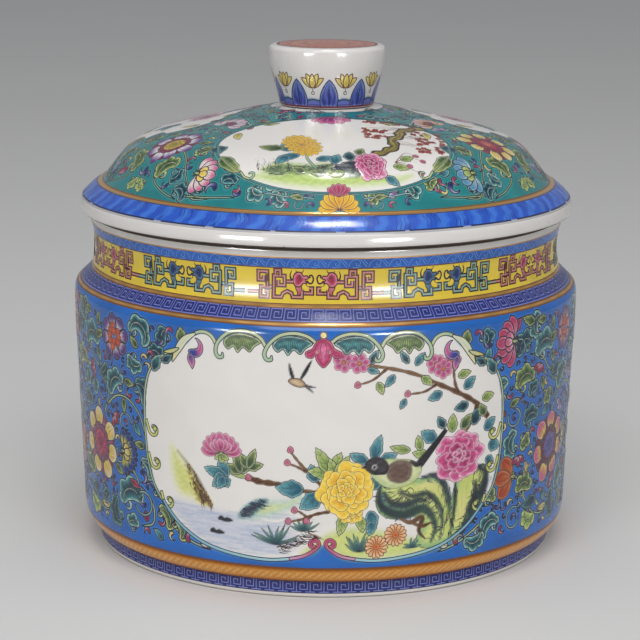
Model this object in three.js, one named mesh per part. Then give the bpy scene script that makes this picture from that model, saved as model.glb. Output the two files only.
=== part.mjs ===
// Round porcelain jar with a domed lid and a flaring knob, in millimetres, +Z up.
// The foot stands on Z = 0, the jar's axis is the Z axis, and the front faces -Y.
// All three pieces are turned forms: each is one outline in (radius, height) spun about the axis.
import * as THREE from 'three';

// Facets round the axis.
const potFacets = 64;
const knobFacets = 48;

// Foot: a low ring under the heel, with a shallow recess in its middle.
const footRadius = 71.0;
const footHeight = 5.2;
const footRingWidth = 6.5;
const footRecess = 3.6;
const footEdge = 1.1;

// Body: the heel turns out from the foot, and the wall widens slowly up to the shoulder.
const heelRadius = 72.3;
const heelRise = 8.4;
const wallBaseRadius = 75.7;
const wallBaseBulge = 0.5;
const bodyRadius = 77.9;
const wallRise = 65.4;
const wall = 5.0;
const floorThickness = 5.4;
const floorCorner = 9.0;

// Shoulder: a rounded edge, then a slope up to the foot of the neck.
const shoulderEdge = 2.4;
const shoulderEdgeInset = 0.8;
const shoulderRise = 4.2;
const neckFootRadius = 72.7;
const innerShoulderRise = 16.0;

// Neck: drawn in at the waist, then out again to the lip.
const waistRadius = 71.5;
const neckRise = 14.4;
const lipRadius = 72.6;
const lipRise = 2.7;
const lipEdge = 0.9;
const throatRadius = 65.6;

// Lid: it rests on the lip, and a flange below its rim drops into the throat.
const seatGap = 0.3;
const lidPlay = 0.8;
const flangeDepth = 8.0;
const flangeThickness = 3.8;
const flangeChamfer = 1.0;
const rimRadius = 75.9;
const rimRise = 5.0;
const rimEdge = 1.8;
const bandRadius = 75.0;
const bandRise = 4.1;
const bandFullness = 0.35;
const ledge = 0.9;
const domeFootRadius = 69.2;
const domeRise = 22.2;
const domeTopSlope = 0.209;
const domeFootSlope = 1.232;
const domeTopReach = 0.885;
const domeFootReach = 0.224;
const lidWall = 4.6;

// Knob: a flaring cup form with a flat top, luted to a low seat on the dome.
const seatRingRadius = 18.4;
const seatStep = 0.5;
const lutingGap = 0.3;
const knobFootRadius = 14.3;
const knobRadius = 17.8;
const knobHeight = 18.9;
const knobShoulder = 1.9;
const knobTopRadius = 15.7;
const knobTopRise = 0.3;

// Heights stacked up from the surface that the jar stands on.
const heelTop = footHeight + heelRise;
const wallTop = heelTop + wallRise;
const shoulderFoot = wallTop + shoulderEdge;
const neckFoot = shoulderFoot + shoulderRise;
const lipFoot = neckFoot + neckRise;
const mouthTop = lipFoot + lipRise;
const lidSeat = mouthTop + seatGap;
const bandFoot = lidSeat + rimRise;
const bandTop = bandFoot + bandRise;
const domeTop = bandTop + domeRise;
const knobSeat = domeTop + seatStep;
const floorTop = footRecess + floorThickness;

const at = (radius, height) => new THREE.Vector2(radius, height);

// A curve between its first and last point, pulled by the one or two handles between them.
function bend(steps, ...points) {
  const Curve = points.length === 3 ? THREE.QuadraticBezierCurve : THREE.CubicBezierCurve;
  return new Curve(...points).getPoints(steps);
}

// The jar: from under its floor, up the outside, over the lip and down the inside to the floor.
function jarOutline() {
  const ringInner = footRadius - footRingWidth;
  const innerRadius = bodyRadius - wall;
  const innerBase = wallBaseRadius - wall;
  const neckTurn = at(neckFootRadius, neckFoot);
  const waistPull = (4 * waistRadius - neckFootRadius / 2 - lipRadius / 2) / 3;
  return [
    at(0, footRecess),
    at(ringInner, footRecess),
    ...bend(2, at(ringInner, footEdge), at(ringInner, 0), at(ringInner + footEdge, 0)),
    ...bend(3, at(footRadius - footEdge, 0), at(footRadius, 0), at(footRadius, footEdge)),
    at(footRadius, footHeight),
    ...bend(5, at(heelRadius, footHeight), at(wallBaseRadius, footHeight + heelRise * 0.4),
      at(wallBaseRadius, heelTop)),
    ...bend(7, at(wallBaseRadius, heelTop), at(wallBaseRadius + wallBaseBulge, heelTop + wallRise / 3),
      at(bodyRadius, wallTop - wallRise / 3), at(bodyRadius, wallTop)),
    ...bend(4, at(bodyRadius, wallTop), at(bodyRadius, wallTop + shoulderEdge / 2),
      at(bodyRadius - shoulderEdgeInset, shoulderFoot)),
    neckTurn,
    ...bend(7, neckTurn, at(waistPull, neckFoot + neckRise * 0.3), at(waistPull, lipFoot - neckRise * 0.3),
      at(lipRadius, lipFoot)),
    ...bend(3, at(lipRadius, mouthTop - lipEdge), at(lipRadius, mouthTop),
      at(lipRadius - lipEdge, mouthTop)),
    ...bend(3, at(throatRadius + lipEdge, mouthTop), at(throatRadius, mouthTop),
      at(throatRadius, mouthTop - lipEdge)),
    at(throatRadius, neckFoot),
    ...bend(6, at(throatRadius, neckFoot), at(throatRadius, neckFoot - innerShoulderRise / 3),
      at(innerRadius, neckFoot - innerShoulderRise / 3), at(innerRadius, neckFoot - innerShoulderRise)),
    ...bend(5, at(innerBase, floorTop + floorCorner), at(innerBase, floorTop),
      at(innerBase - floorCorner, floorTop)),
    at(0, floorTop),
  ];
}

// A dome's section from its foot up: a quick rise, then a low slope to its top.
function dome(steps, foot, top) {
  const width = foot.x - top.x;
  const footHandle = at(foot.x - width * domeFootReach, foot.y + width * domeFootReach * domeFootSlope);
  const topHandle = at(top.x + width * domeTopReach, top.y - width * domeTopReach * domeTopSlope);
  return bend(steps, foot, footHandle, topHandle, top);
}

// The lid: from the middle of its hollow down the flange, round the rim and up over the dome.
function lidOutline() {
  const flangeOuter = throatRadius - lidPlay;
  const flangeInner = flangeOuter - flangeThickness;
  const flangeFoot = lidSeat - flangeDepth;
  const bandInner = domeFootRadius + ledge;
  return [
    at(0, domeTop - lidWall),
    ...dome(7, at(domeFootRadius - lidWall, bandTop), at(seatRingRadius, domeTop - lidWall)).reverse(),
    at(flangeInner, lidSeat),
    at(flangeInner, flangeFoot),
    at(flangeOuter - flangeChamfer, flangeFoot),
    at(flangeOuter, flangeFoot + flangeChamfer),
    at(flangeOuter, lidSeat),
    ...bend(3, at(rimRadius - rimEdge, lidSeat), at(rimRadius, lidSeat), at(rimRadius, lidSeat + rimEdge)),
    ...bend(3, at(rimRadius, lidSeat + rimEdge), at(rimRadius, bandFoot - rimEdge / 2),
      at(bandRadius, bandFoot)),
    ...bend(4, at(bandRadius, bandFoot),
      at((bandRadius + bandInner) / 2 + bandFullness, bandFoot + bandRise / 2 + bandFullness),
      at(bandInner, bandTop)),
    ...dome(9, at(domeFootRadius, bandTop), at(seatRingRadius, domeTop)),
    at(knobFootRadius + lutingGap, knobSeat),
    at(0, knobSeat),
  ];
}

// The knob: a foot on the seat, a flaring side, a rounded shoulder and a barely raised top.
function knobOutline() {
  const foot = knobSeat + lutingGap;
  const top = knobSeat + knobHeight;
  return [
    at(0, foot),
    at(knobFootRadius, foot),
    ...bend(6, at(knobFootRadius, foot), at((knobFootRadius + knobRadius) / 2, foot + knobHeight / 3),
      at(knobRadius, top - knobHeight / 3), at(knobRadius, top - knobShoulder)),
    ...bend(4, at(knobRadius, top - knobShoulder), at(knobRadius, top - knobTopRise),
      at(knobTopRadius, top - knobTopRise)),
    at(0, top),
  ];
}

// A closed solid: the outline, which starts and ends on the axis, spun once round.
function turned(name, outline, facets, color) {
  const distinct = outline.filter((point, i) => i === 0 || point.distanceTo(outline[i - 1]) > 1e-4);
  const geometry = new THREE.LatheGeometry(distinct, facets);
  geometry.rotateX(Math.PI / 2);
  const glaze = new THREE.MeshStandardMaterial({ color, roughness: 0.12, metalness: 0 });
  const mesh = new THREE.Mesh(geometry, glaze);
  mesh.name = name;
  return mesh;
}

const jar = new THREE.Group();
jar.add(turned('jar_body', jarOutline(), potFacets, 0x2a62b4));
jar.add(turned('lid', lidOutline(), potFacets, 0x35898a));
jar.add(turned('knob', knobOutline(), knobFacets, 0xe6e0dc));

export default jar;
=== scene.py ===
import logging
import math
from dataclasses import dataclass, field, replace
from enum import Enum, IntEnum
from typing import Callable, Optional, Sequence

import bpy
import numpy as np
from mathutils import Matrix, Vector


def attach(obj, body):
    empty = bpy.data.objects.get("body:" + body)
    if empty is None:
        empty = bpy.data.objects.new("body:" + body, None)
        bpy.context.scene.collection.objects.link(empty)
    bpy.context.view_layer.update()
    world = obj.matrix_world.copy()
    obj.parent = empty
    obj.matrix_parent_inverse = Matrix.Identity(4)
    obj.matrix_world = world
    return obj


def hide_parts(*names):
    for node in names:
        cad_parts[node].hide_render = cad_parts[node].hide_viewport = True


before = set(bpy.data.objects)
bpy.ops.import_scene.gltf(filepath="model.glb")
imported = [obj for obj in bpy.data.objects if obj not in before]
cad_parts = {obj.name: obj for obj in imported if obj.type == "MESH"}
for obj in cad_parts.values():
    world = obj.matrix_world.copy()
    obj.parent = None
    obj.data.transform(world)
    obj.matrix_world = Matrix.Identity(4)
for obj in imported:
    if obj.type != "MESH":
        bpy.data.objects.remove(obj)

# Looks of a lidded porcelain jar in overglaze enamels. The three turned solids are replaced by finer
# turned bodies just inside them, and over those lie thin painted skins with their line work. The
# painting is done on flat canvases, touch by touch, and is then wrapped on to the forms. Sizes are in
# millimetres until a mesh is made. X goes to the viewer's right, the front faces -Y, and angles go
# round from the front to the right.

log = logging.getLogger("jar")
Array = np.ndarray
Points = Sequence[tuple[float, float]] | np.ndarray
Colour = tuple[float, float, float]
Paint = Callable[[Array, Array, Array], Array]

MM = 0.001
CELL = 0.15         # pitch of a canvas's pixels
ARC = 77.0          # the jar's canvas x is the angle times this
ROUND = 2 * math.pi * ARC
KNOB_ARC = 17.0     # the same for the knob
BATCH = 2_000_000   # pairs of a pixel and a side that are measured at once
EDGE_ROUND = 0.5    # distance from its edge over which a touch rises to its full thickness
HALO_REACH = 2      # pixels on each side of the halo's running means
HALO_GAIN = 2.6     # how quickly the halo fills
MITRE_LIMIT = 0.7   # least cosine by which a ribbon's corner is widened
FACETS = 256        # round the jar and the lid
INSET = 0.07        # depth of the turned bodies under the outline
TUCK = -0.12        # height of a skin's turned-in edge
RELIEF_RISE = 0.02  # height of relief 1
RELIEF_LEAN = 0.09  # the same as far as the normals show it
SKIN_LIFT = -0.04   # height of bare paint over the outline
LINE_LIFT = -0.012  # height of the line work
BUMP = 0.0006       # height of the glaze's bump, in metres


def mix(first: Colour | Array, second: Colour | Array, share: float | Array) -> Array:
    """Blend two colours as first * (1 - share) + second * share, with the channels last."""
    share = np.asarray(share, dtype=np.float32)[..., None]
    return np.asarray(first, np.float32) * (1 - share) + np.asarray(second, np.float32) * share


def smooth(value: Array | float, low: float, high: float) -> Array:
    """Step from 0 at low to 1 at high along 3t^2 - 2t^3."""
    t = np.clip((np.asarray(value, np.float32) - low) / (high - low), 0, 1)
    return t * t * (3 - 2 * t)


def wander(x: Array, y: Array, seed: float = 0.0) -> Array:
    """Slow irregular values from about -1 to 1: three sine waves that bend each other."""
    bent = np.sin(x * 0.7 + 1.9 * np.sin(y * 0.61 + seed) + seed * 1.7)
    return (bent + np.sin(y * 1.3 + 1.4 * np.sin(x * 0.53 - seed) + seed)
            + np.sin(x + y * 0.8 + 2 * bent)) / 3


def through(points: Points, steps: int = 6, closed: bool = False) -> Array:
    """Smooth line through the points: cubic spans whose slopes are half the chord of their neighbours.

    Args:
        points: the points, in order.
        steps: parts that each span is cut into.
        closed: whether the last point joins the first.

    Returns:
        The finer line, an array of (x, y).
    """
    p = np.asarray(points, float)
    p = np.vstack([p[-1:], p, p[:2]]) if closed else np.vstack([2 * p[0] - p[1], p, 2 * p[-1] - p[-2]])
    t = np.linspace(0, 1, steps, endpoint=False)[None, :, None]
    a, b, c, d = (p[i:len(p) - 3 + i, None] for i in range(4))
    line = 0.5 * (2 * b + (c - a) * t + (2 * a - 5 * b + 4 * c - d) * t ** 2
                  + (3 * b - a - 3 * c + d) * t ** 3)
    line = line.reshape(-1, 2)
    return line if closed else np.vstack([line, p[-2:-1]])


def arc(radius: float, start: float, sweep: float, end_radius: Optional[float] = None,
        steps: int = 20) -> Array:
    """Points round the origin, with the radius going evenly from one value to another.

    Args:
        radius: radius at the start.
        start: first angle in degrees, anticlockwise from +x.
        sweep: angle gone through, in degrees.
        end_radius: radius at the end, or None for the same.
        steps: number of points.

    Returns:
        The points, an array of (x, y).
    """
    turn = np.radians(np.linspace(start, start + sweep, steps))
    reach = np.linspace(radius, radius if end_radius is None else end_radius, steps)
    return np.stack([reach * np.cos(turn), reach * np.sin(turn)], 1)


def mirrored(half: Points) -> Array:
    """Close a half outline that starts and ends at x = 0 with its mirror image."""
    half = np.asarray(half, float)
    return np.vstack([half, (half[::-1] * (-1, 1))[1:-1]])


def sideways(line: Array) -> Array:
    """Unit normals to the left of a line, from the central differences of its points."""
    run = np.gradient(line, axis=0)
    run /= np.maximum(np.hypot(*run.T), 1e-9)[:, None]
    return np.stack([-run[:, 1], run[:, 0]], 1)


def lengths(points: Array) -> Array:
    """Distance along a line at each of its points."""
    return np.concatenate([[0], np.cumsum(np.hypot(*np.diff(points, axis=0).T))])


def linear(colour: Colour | Array) -> Array:
    """Turn display colours from 0 to 255 into light values from 0 to 1 by the sRGB curve."""
    s = np.clip(np.asarray(colour, np.float32) / 255, 0, 1)
    return np.where(s <= 0.04045, s / 12.92, ((s + 0.055) / 1.055) ** 2.4)


def shader(colour: Colour) -> tuple[float, float, float, float]:
    """Turn a display colour into the four numbers that a shader socket takes."""
    return (*[float(c) for c in linear(colour)], 1.0)


@dataclass(frozen=True)
class Palette:
    """The plain grounds as display colours, 0 to 255."""
    white: Colour = (228, 224, 220)
    # grey for the lid's white rim: painted shade, darker than the white glaze
    rim: Colour = (184, 182, 184)
    field: Colour = (238, 234, 229)
    ground: Colour = (34, 102, 186)
    halo: Colour = (118, 164, 222)
    lid_ground: Colour = (34, 128, 132)
    lid_halo: Colour = (118, 186, 184)
    neck_blue: Colour = (46, 98, 184)
    yellow: Colour = (231, 202, 68)
    fret: Colour = (38, 47, 116)
    cobalt: Colour = (34, 84, 196)
    cobalt_light: Colour = (70, 132, 226)
    gold: Colour = (208, 162, 96)
    gold_deep: Colour = (152, 98, 46)
    gold_pale: Colour = (246, 212, 150)


TONE = Palette()


class Ink(Enum):
    """Colours that lines are drawn in, as display colours."""
    DARK = (40, 38, 50)
    NAVY = (28, 40, 84)
    SEPIA = (112, 70, 42)
    RED = (110, 30, 46)
    PALE = (120, 132, 206)
    SKY = (98, 154, 222)
    ROSE = (198, 132, 120)
    ICE = (140, 168, 148)
    MAROON = (74, 18, 34)
    INDIGO = (18, 28, 52)
    GILT = (190, 146, 84)


@dataclass(frozen=True)
class Tint:
    """How one touch of enamel is coloured.

    The colour goes from root to tip along the touch, between the two places in reach, turns to rim
    near the edge, and is darkened by fine strokes that run along it.
    """
    root: Colour
    tip: Colour
    rim: Optional[Colour] = None
    rim_width: float = 0.4
    strokes: float = 0.12
    reach: tuple[float, float] = (0.1, 0.9)

    def edged(self, colour: Array, depth: Array) -> Array:
        """Turn a colour to the rim's near the edge, by exp(-(depth / rim width) squared)."""
        return colour if self.rim is None else mix(colour, self.rim, np.exp(-(depth / self.rim_width) ** 2))


@dataclass(frozen=True)
class Brush:
    """How a touch is laid: its outline, how thick it stands, how far its edge fades, how much it covers."""
    ink: Optional[Ink] = Ink.DARK
    width: float = 0.2
    relief: float = 0.5
    soft: float = 0.0
    alpha: float = 1.0


FINE, BROWN, ROSY, DEEP = (Brush(ink) for ink in (Ink.DARK, Ink.SEPIA, Ink.RED, Ink.NAVY))
BARE = Brush(None)
THIN = Brush(Ink.RED, 0.11)
WASH = Brush(None, relief=0.05, soft=1.7, alpha=0.8)
SHADE = Brush(None, relief=0.1, soft=0.7, alpha=0.8)


@dataclass
class Line:
    """A drawn line: its points, width, ink, height above the paint, and place in the painting order."""
    points: Array
    width: Array
    ink: Ink
    lift: float
    order: int


class Canvas:
    """A sheet of paint in millimetres, x across and y up, which is later wrapped on to a surface."""

    def __init__(self, low: tuple[float, float], high: tuple[float, float]) -> None:
        """Make an empty white sheet from its lowest to its highest x and y."""
        self.low = np.array(low, float)
        columns, rows = (int(math.ceil((h - l) / CELL)) for l, h in zip(low, high))
        self.rgb = np.empty((rows, columns, 3), np.float32)
        self.rgb[:] = TONE.white
        self.top = np.zeros((rows, columns), np.int32)
        self.relief = np.zeros((rows, columns), np.float32)
        self.gilt = np.zeros((rows, columns), np.float32)
        self.lines: list[Line] = []
        self.order = 0

    def pixels(self, rows: slice, columns: slice) -> tuple[Array, Array]:
        """The x and y of the pixels in some rows and columns."""
        x = self.low[0] + (np.arange(columns.start, columns.stop, dtype=np.float32) + 0.5) * CELL
        y = self.low[1] + (np.arange(rows.start, rows.stop, dtype=np.float32) + 0.5) * CELL
        return tuple(np.meshgrid(x.astype(np.float32), y.astype(np.float32)))

    def band(self, low: float, high: float) -> tuple[slice, Array, Array]:
        """The rows between two heights, with the x and y of their pixels."""
        rows = slice(*(int(np.clip(round((v - self.low[1]) / CELL), 0, len(self.top)))
                       for v in (low, high)))
        return rows, *self.pixels(rows, slice(0, self.top.shape[1]))

    def fill(self, edge: Array, paint: Colour | Paint, brush: Brush) -> None:
        """Lay paint inside a closed edge.

        Depth is the distance to the nearest side of the edge, and a pixel is inside where a ray to
        the left crosses the edge an odd number of times.

        Args:
            edge: the corners of the edge.
            paint: a colour, or a function of x, y and depth that gives colours.
            brush: how it is laid.
        """
        edge = np.asarray(edge, np.float32)
        margin = CELL + brush.soft
        low = np.floor((edge.min(0) - margin - self.low) / CELL).astype(int)
        high = np.ceil((edge.max(0) + margin - self.low) / CELL).astype(int)
        limits = self.top.shape[::-1]
        columns, rows = (slice(*(int(np.clip(v[i], 0, limits[i])) for v in (low, high))) for i in (0, 1))
        x, y = self.pixels(rows, columns)
        if x.size == 0:
            return
        nearest = np.full(x.shape, 1e9, np.float32)
        crossings = np.zeros(x.shape, np.int32)
        following = np.roll(edge, -1, 0)
        batch = max(1, BATCH // x.size)
        for k in range(0, len(edge), batch):
            a, b = edge[k:k + batch], following[k:k + batch]
            run = b - a
            dx, dy = x[..., None] - a[:, 0], y[..., None] - a[:, 1]
            along = np.clip((dx * run[:, 0] + dy * run[:, 1]) / np.maximum((run ** 2).sum(1), 1e-12), 0, 1)
            gap = (dx - along * run[:, 0]) ** 2 + (dy - along * run[:, 1]) ** 2
            nearest = np.minimum(nearest, gap.min(-1))
            rise = np.where(np.abs(run[:, 1]) < 1e-9, 1e-9, run[:, 1])
            over = (a[:, 1] > y[..., None]) != (b[:, 1] > y[..., None])
            crossings += (over & (dx > run[:, 0] * dy / rise)).sum(-1)
        depth = np.sqrt(nearest) * np.where(crossings % 2 == 1, 1, -1)
        if brush.soft > 0:
            cover = smooth(depth, -brush.soft, brush.soft) * brush.alpha
        else:
            cover = np.clip(depth / CELL + 0.5, 0, 1) * brush.alpha
        colour = paint(x, y, depth) if callable(paint) else np.asarray(paint, np.float32)
        self.rgb[rows, columns] = mix(self.rgb[rows, columns], colour, cover)
        body = brush.relief * smooth(depth, 0, EDGE_ROUND)
        self.relief[rows, columns] += (body - self.relief[rows, columns]) * cover * (brush.relief > 0)
        self.gilt[rows, columns] *= 1 - cover
        self.order += 1
        self.top[rows, columns] = np.where(cover > 0.5, self.order, self.top[rows, columns])

    def line(self, points: Array, width: float | Array, ink: Ink = Ink.DARK, lift: float = 0.0) -> None:
        """Note a line, which becomes raised line work over the paint below it.

        Args:
            points: its points.
            width: its width, or one width for each point.
            ink: its colour.
            lift: extra height, so that one line can lie on another.
        """
        self.order += 1
        wide = np.broadcast_to(np.asarray(width, float), (len(points),)).copy()
        self.lines.append(Line(np.asarray(points, float), wide, ink, lift, self.order))

    def bare(self, x: float, y: float, reach: float) -> bool:
        """Whether nothing is painted within a square round a point."""
        c0, c1 = (int((x + s * reach - self.low[0]) / CELL) for s in (-1, 1))
        r0, r1 = (int((y + s * reach - self.low[1]) / CELL) for s in (-1, 1))
        return min(c0, r0) > 0 and not self.top[r0:r1 + 1, c0:c1 + 1].any()

    def halo(self, low: float, high: float, colour: Colour, strength: float) -> None:
        """Lighten bare ground close to painted motifs, by the painted area blurred with two box means.

        Args:
            low: lowest y that is touched.
            high: highest y that is touched.
            colour: what the ground turns to.
            strength: share of the colour next to a motif.
        """
        rows, _, _ = self.band(low, high)
        bare = self.top[rows] == 0
        near = np.clip(blur((~bare).astype(np.float32), HALO_REACH) * HALO_GAIN, 0, 1)
        self.rgb[rows] = mix(self.rgb[rows], colour, near * strength * bare)

    def sample(self, channel: Array, x: Array, y: Array) -> Array:
        """Read a channel at each x and y, between its pixels by bilinear weights."""
        rows, columns = channel.shape[:2]
        fx = np.clip((x - self.low[0]) / CELL - 0.5, 0, columns - 1.001)
        fy = np.clip((y - self.low[1]) / CELL - 0.5, 0, rows - 1.001)
        cx, cy = fx.astype(int), fy.astype(int)
        tx, ty = fx - cx, fy - cy
        if channel.ndim == 3:
            tx, ty = tx[..., None], ty[..., None]
        low = channel[cy, cx] * (1 - tx) + channel[cy, cx + 1] * tx
        high = channel[cy + 1, cx] * (1 - tx) + channel[cy + 1, cx + 1] * tx
        return low * (1 - ty) + high * ty


def blur(channel: Array, reach: int) -> Array:
    """Two running means along each axis, 2 * reach + 1 pixels long, taken from running totals."""
    result = channel.astype(np.float64)
    for axis in (0, 1, 0, 1):
        pad = [(0, 0)] * result.ndim
        pad[axis] = (reach + 1, reach)
        total = np.cumsum(np.pad(result, pad, mode="edge"), axis=axis)
        length = result.shape[axis]
        ahead = np.take(total, np.arange(2 * reach + 1, 2 * reach + 1 + length), axis=axis)
        result = (ahead - np.take(total, np.arange(length), axis=axis)) / (2 * reach + 1)
    return result.astype(np.float32)


TEAL = Tint((12, 62, 76), (84, 152, 152), (204, 230, 214), 0.5, 0.2)
DEEP_TEAL = Tint((8, 44, 64), (46, 110, 122), (166, 210, 204), 0.45, 0.2)
OLIVE = Tint((48, 80, 50), (138, 158, 90), (220, 226, 168), 0.5, 0.2)
BLUE_LEAF = Tint((44, 110, 132), (106, 174, 184), (170, 214, 212), 0.35, 0.18)
FRESH = Tint((134, 164, 82), (188, 206, 122), (224, 232, 170), 0.35, 0.14)
CRIMSON = Tint((158, 36, 76), (196, 70, 112), (232, 164, 190), 0.3, 0.15)
PINK = Tint((172, 40, 100), (222, 112, 160), (244, 204, 220), 0.35, 0.16)
YELLOW = Tint((238, 186, 50), (246, 218, 100), (246, 232, 176), 0.5, 0.1)
STEM = Tint((190, 204, 146), (160, 194, 168), strokes=0.0)
ICE_STEM = Tint((140, 186, 192), (168, 202, 200), strokes=0.0)
NAVY_BUD = Tint((214, 200, 226), (26, 38, 100), (92, 88, 156), 0.25, 0.1, (0.2, 0.8))
ROSE_BUD = Tint((240, 214, 222), (150, 32, 70), (212, 126, 156), 0.25, 0.1, (0.15, 0.7))
BLOSSOM = Tint((96, 70, 150), (216, 196, 226), (236, 222, 238), 0.3, 0.15, (0.1, 0.9))
GOLD_BUD = Tint((244, 228, 170), (200, 178, 80), (248, 238, 188), 0.3, 0.1)
SOOT = Tint((60, 56, 60), (28, 28, 34), strokes=0.3)
BUD = Tint((208, 120, 142), (150, 50, 86), (228, 178, 190), 0.25)
ORANGE = Tint((216, 116, 60), (184, 68, 34), (238, 176, 130), 0.4, 0.22)
TWIG = Tint((120, 84, 48), (70, 50, 36))


class Filler(Enum):
    """What fills bare ground: the room that it needs on each side, its size, and the pitch of the tries."""
    FROND = (2.7, 2.45, 2.0)
    LEAF = (1.75, 2.3, 1.6)
    BUD = (1.2, 1.6, 1.3)
    TENDRIL = (0.95, 1.05, 1.2)


class Pen:
    """Draws motifs on a canvas in a frame of its own, which can be moved, turned, squeezed and flipped."""

    def __init__(self, canvas: Canvas, x: float = 0.0, y: float = 0.0, fine: float = 1.0) -> None:
        """Hold a canvas and a place on it; fine multiplies the width of every line."""
        self.canvas, self.fine, self.scale = canvas, fine, 1.0
        self.matrix, self.offset = np.eye(2), np.array([x, y], float)

    def at(self, x: float, y: float, turn: float = 0.0, flip: bool = False, squeeze: float = 1.0) -> "Pen":
        """A pen whose frame lies in this one.

        Args:
            x: where its origin goes.
            y: likewise.
            turn: degrees anticlockwise.
            flip: mirror left and right first.
            squeeze: scale of its x axis.

        Returns:
            The new pen.
        """
        c, s = math.cos(math.radians(turn)), math.sin(math.radians(turn))
        pen = Pen(self.canvas, *self.place((x, y)), self.fine)
        pen.matrix = self.matrix @ np.array([[c, -s], [s, c]]) @ np.diag([-squeeze if flip else squeeze, 1])
        pen.scale = math.sqrt(abs(np.linalg.det(pen.matrix)))
        return pen

    def place(self, points: Points) -> Array:
        """Carry points from the pen's frame to the canvas."""
        return np.asarray(points, float) @ self.matrix.T + self.offset

    def line(self, points: Points, width: float, ink: Ink = Ink.DARK, taper: bool = False,
             lift: float = 0.0) -> None:
        """Draw a line.

        Args:
            points: its points.
            width: its width.
            ink: its colour.
            taper: thin it to a third towards its end.
            lift: extra height.
        """
        placed = self.place(points)
        self.canvas.line(placed, width * self.fine * np.linspace(1, 0.3 if taper else 1, len(placed)), ink,
                         lift)

    def curve(self, points: Points, width: float = 0.3, ink: Ink = Ink.DARK, taper: bool = True) -> None:
        """Draw a smooth line through the points, which thins towards its end unless told not to."""
        self.line(through(points, 4), width, ink, taper)

    def lay(self, edge: Array, paint: Paint, brush: Brush) -> None:
        """Fill an edge on the canvas and draw its outline."""
        self.canvas.fill(edge, paint, brush)
        if brush.ink is not None:
            self.canvas.line(np.vstack([edge, edge[:1]]), brush.width * self.fine, brush.ink)

    def blob(self, points: Points, tint: Tint, deep: float = 1.5, brush: Brush = FINE,
             steps: int = 4) -> None:
        """Fill a closed outline, from the tip colour at its edge to the root colour inside.

        Args:
            points: points that the outline goes through.
            tint: its colours.
            deep: depth at which the root colour is reached.
            brush: how it is laid.
            steps: parts between two points, where 1 keeps the sides straight.
        """
        edge = self.place(points if steps == 1 else through(points, steps, True))
        seed = float(edge[0].sum())

        def paint(x: Array, y: Array, depth: Array) -> Array:
            """Colour by depth, with soft mottling."""
            depth = depth / self.scale
            colour = tint.edged(mix(tint.tip, tint.root, smooth(depth, 0, deep)), depth)
            return colour * (1 + tint.strokes * wander(x * 3, y * 3, seed))[..., None]

        self.lay(edge, paint, brush)

    def blade(self, spine: Array, left: Array | float, right: Array | float, tint: Tint,
              brush: Brush = FINE) -> None:
        """Fill the ribbon that lies to both sides of a spine.

        Its edges are the spine plus and minus its normals times the two half widths. Each pixel takes
        its place along the spine from the nearest spine point, and its place across from the normal.

        Args:
            spine: points of the middle line.
            left: half widths on the left.
            right: half widths on the right.
            tint: colours from the first point to the last.
            brush: how it is laid.
        """
        line = self.place(spine)
        normal = sideways(line) * (-1 if np.linalg.det(self.matrix) < 0 else 1)
        left, right = (np.broadcast_to(np.asarray(v, float), (len(line),)) * self.scale
                       for v in (left, right))
        edge = np.vstack([line + normal * left[:, None], (line - normal * right[:, None])[::-1]])
        seed = float(line[0].sum())
        reach = np.maximum((left + right) / 2, 0.05)

        def paint(x: Array, y: Array, depth: Array) -> Array:
            """Colour along the spine, then the rim, then strokes across."""
            k = ((x[..., None] - line[:, 0]) ** 2 + (y[..., None] - line[:, 1]) ** 2).argmin(-1)
            along = k / (len(line) - 1)
            across = ((x - line[k, 0]) * normal[k, 0] + (y - line[k, 1]) * normal[k, 1]) / reach[k]
            colour = tint.edged(mix(tint.root, tint.tip, smooth(along, *tint.reach)), depth / self.scale)
            lines = np.sin(across * 11 + seed + 1.5 * np.sin(along * 7 + across * 3))
            return colour * (1 - tint.strokes * (0.5 + 0.5 * lines))[..., None]

        self.lay(edge, paint, brush)

    def vine(self, points: Points, width: float, tint: Tint, brush: Brush = FINE) -> None:
        """Draw a stem of even width through the points, with a tapered end."""
        spine = through(points, 5)
        half = width / 2 * np.minimum(1, 0.35 + 6 * np.linspace(1, 0, len(spine)))
        self.blade(spine, half, half, tint, brush)

    def stroke(self, points: Points, width: float, tint: Tint, brush: Brush = SHADE,
               lean: float = 0.7) -> None:
        """Draw a stroke that swells to the width on its left and to lean times the width on its right."""
        spine = through(points)
        swell = width * np.sin(np.linspace(0.25, 3.0, len(spine)))
        self.blade(spine, swell, swell * lean, tint, brush)

    def dot(self, x: float, y: float, radius: float, tint: Tint, brush: Brush = FINE) -> None:
        """Paint a round touch."""
        self.blob(arc(radius, 0, 330, steps=12) + (x, y), tint, radius, brush, 1)

    def leaf(self, length: float, width: float, tint: Tint, bend: float = 0.12, veins: int = 3,
             brush: Brush = FINE) -> None:
        """Paint a pointed leaf up the y axis, with a midrib and side veins.

        Args:
            length: its length.
            width: its width.
            tint: its colours.
            bend: sideways lean of its tip, as a share of the length.
            veins: number of side veins.
            brush: how it is laid.
        """
        t = np.linspace(0, 1, 22)
        spine = np.stack([bend * length * t ** 2, length * t], 1)
        half = width / 2 * np.sin(np.pi * t ** 0.78) ** 0.85 * (1 + 0.07 * np.sin(t * 19) * (veins > 1))
        self.blade(spine, half, half, tint, brush)
        self.line(spine[1:-2], 0.13, brush.ink or Ink.DARK, True)
        for i in (np.linspace(0.22, 0.72, veins) * 21).astype(int):
            for side in (-1, 1):
                tip = spine[min(i + 4, 21)] + (side * half[i] * 0.8, 0)
                self.line([spine[i], (spine[i] + tip) / 2 + (0, -0.03 * length), tip], 0.1,
                          brush.ink or Ink.DARK)

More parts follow.
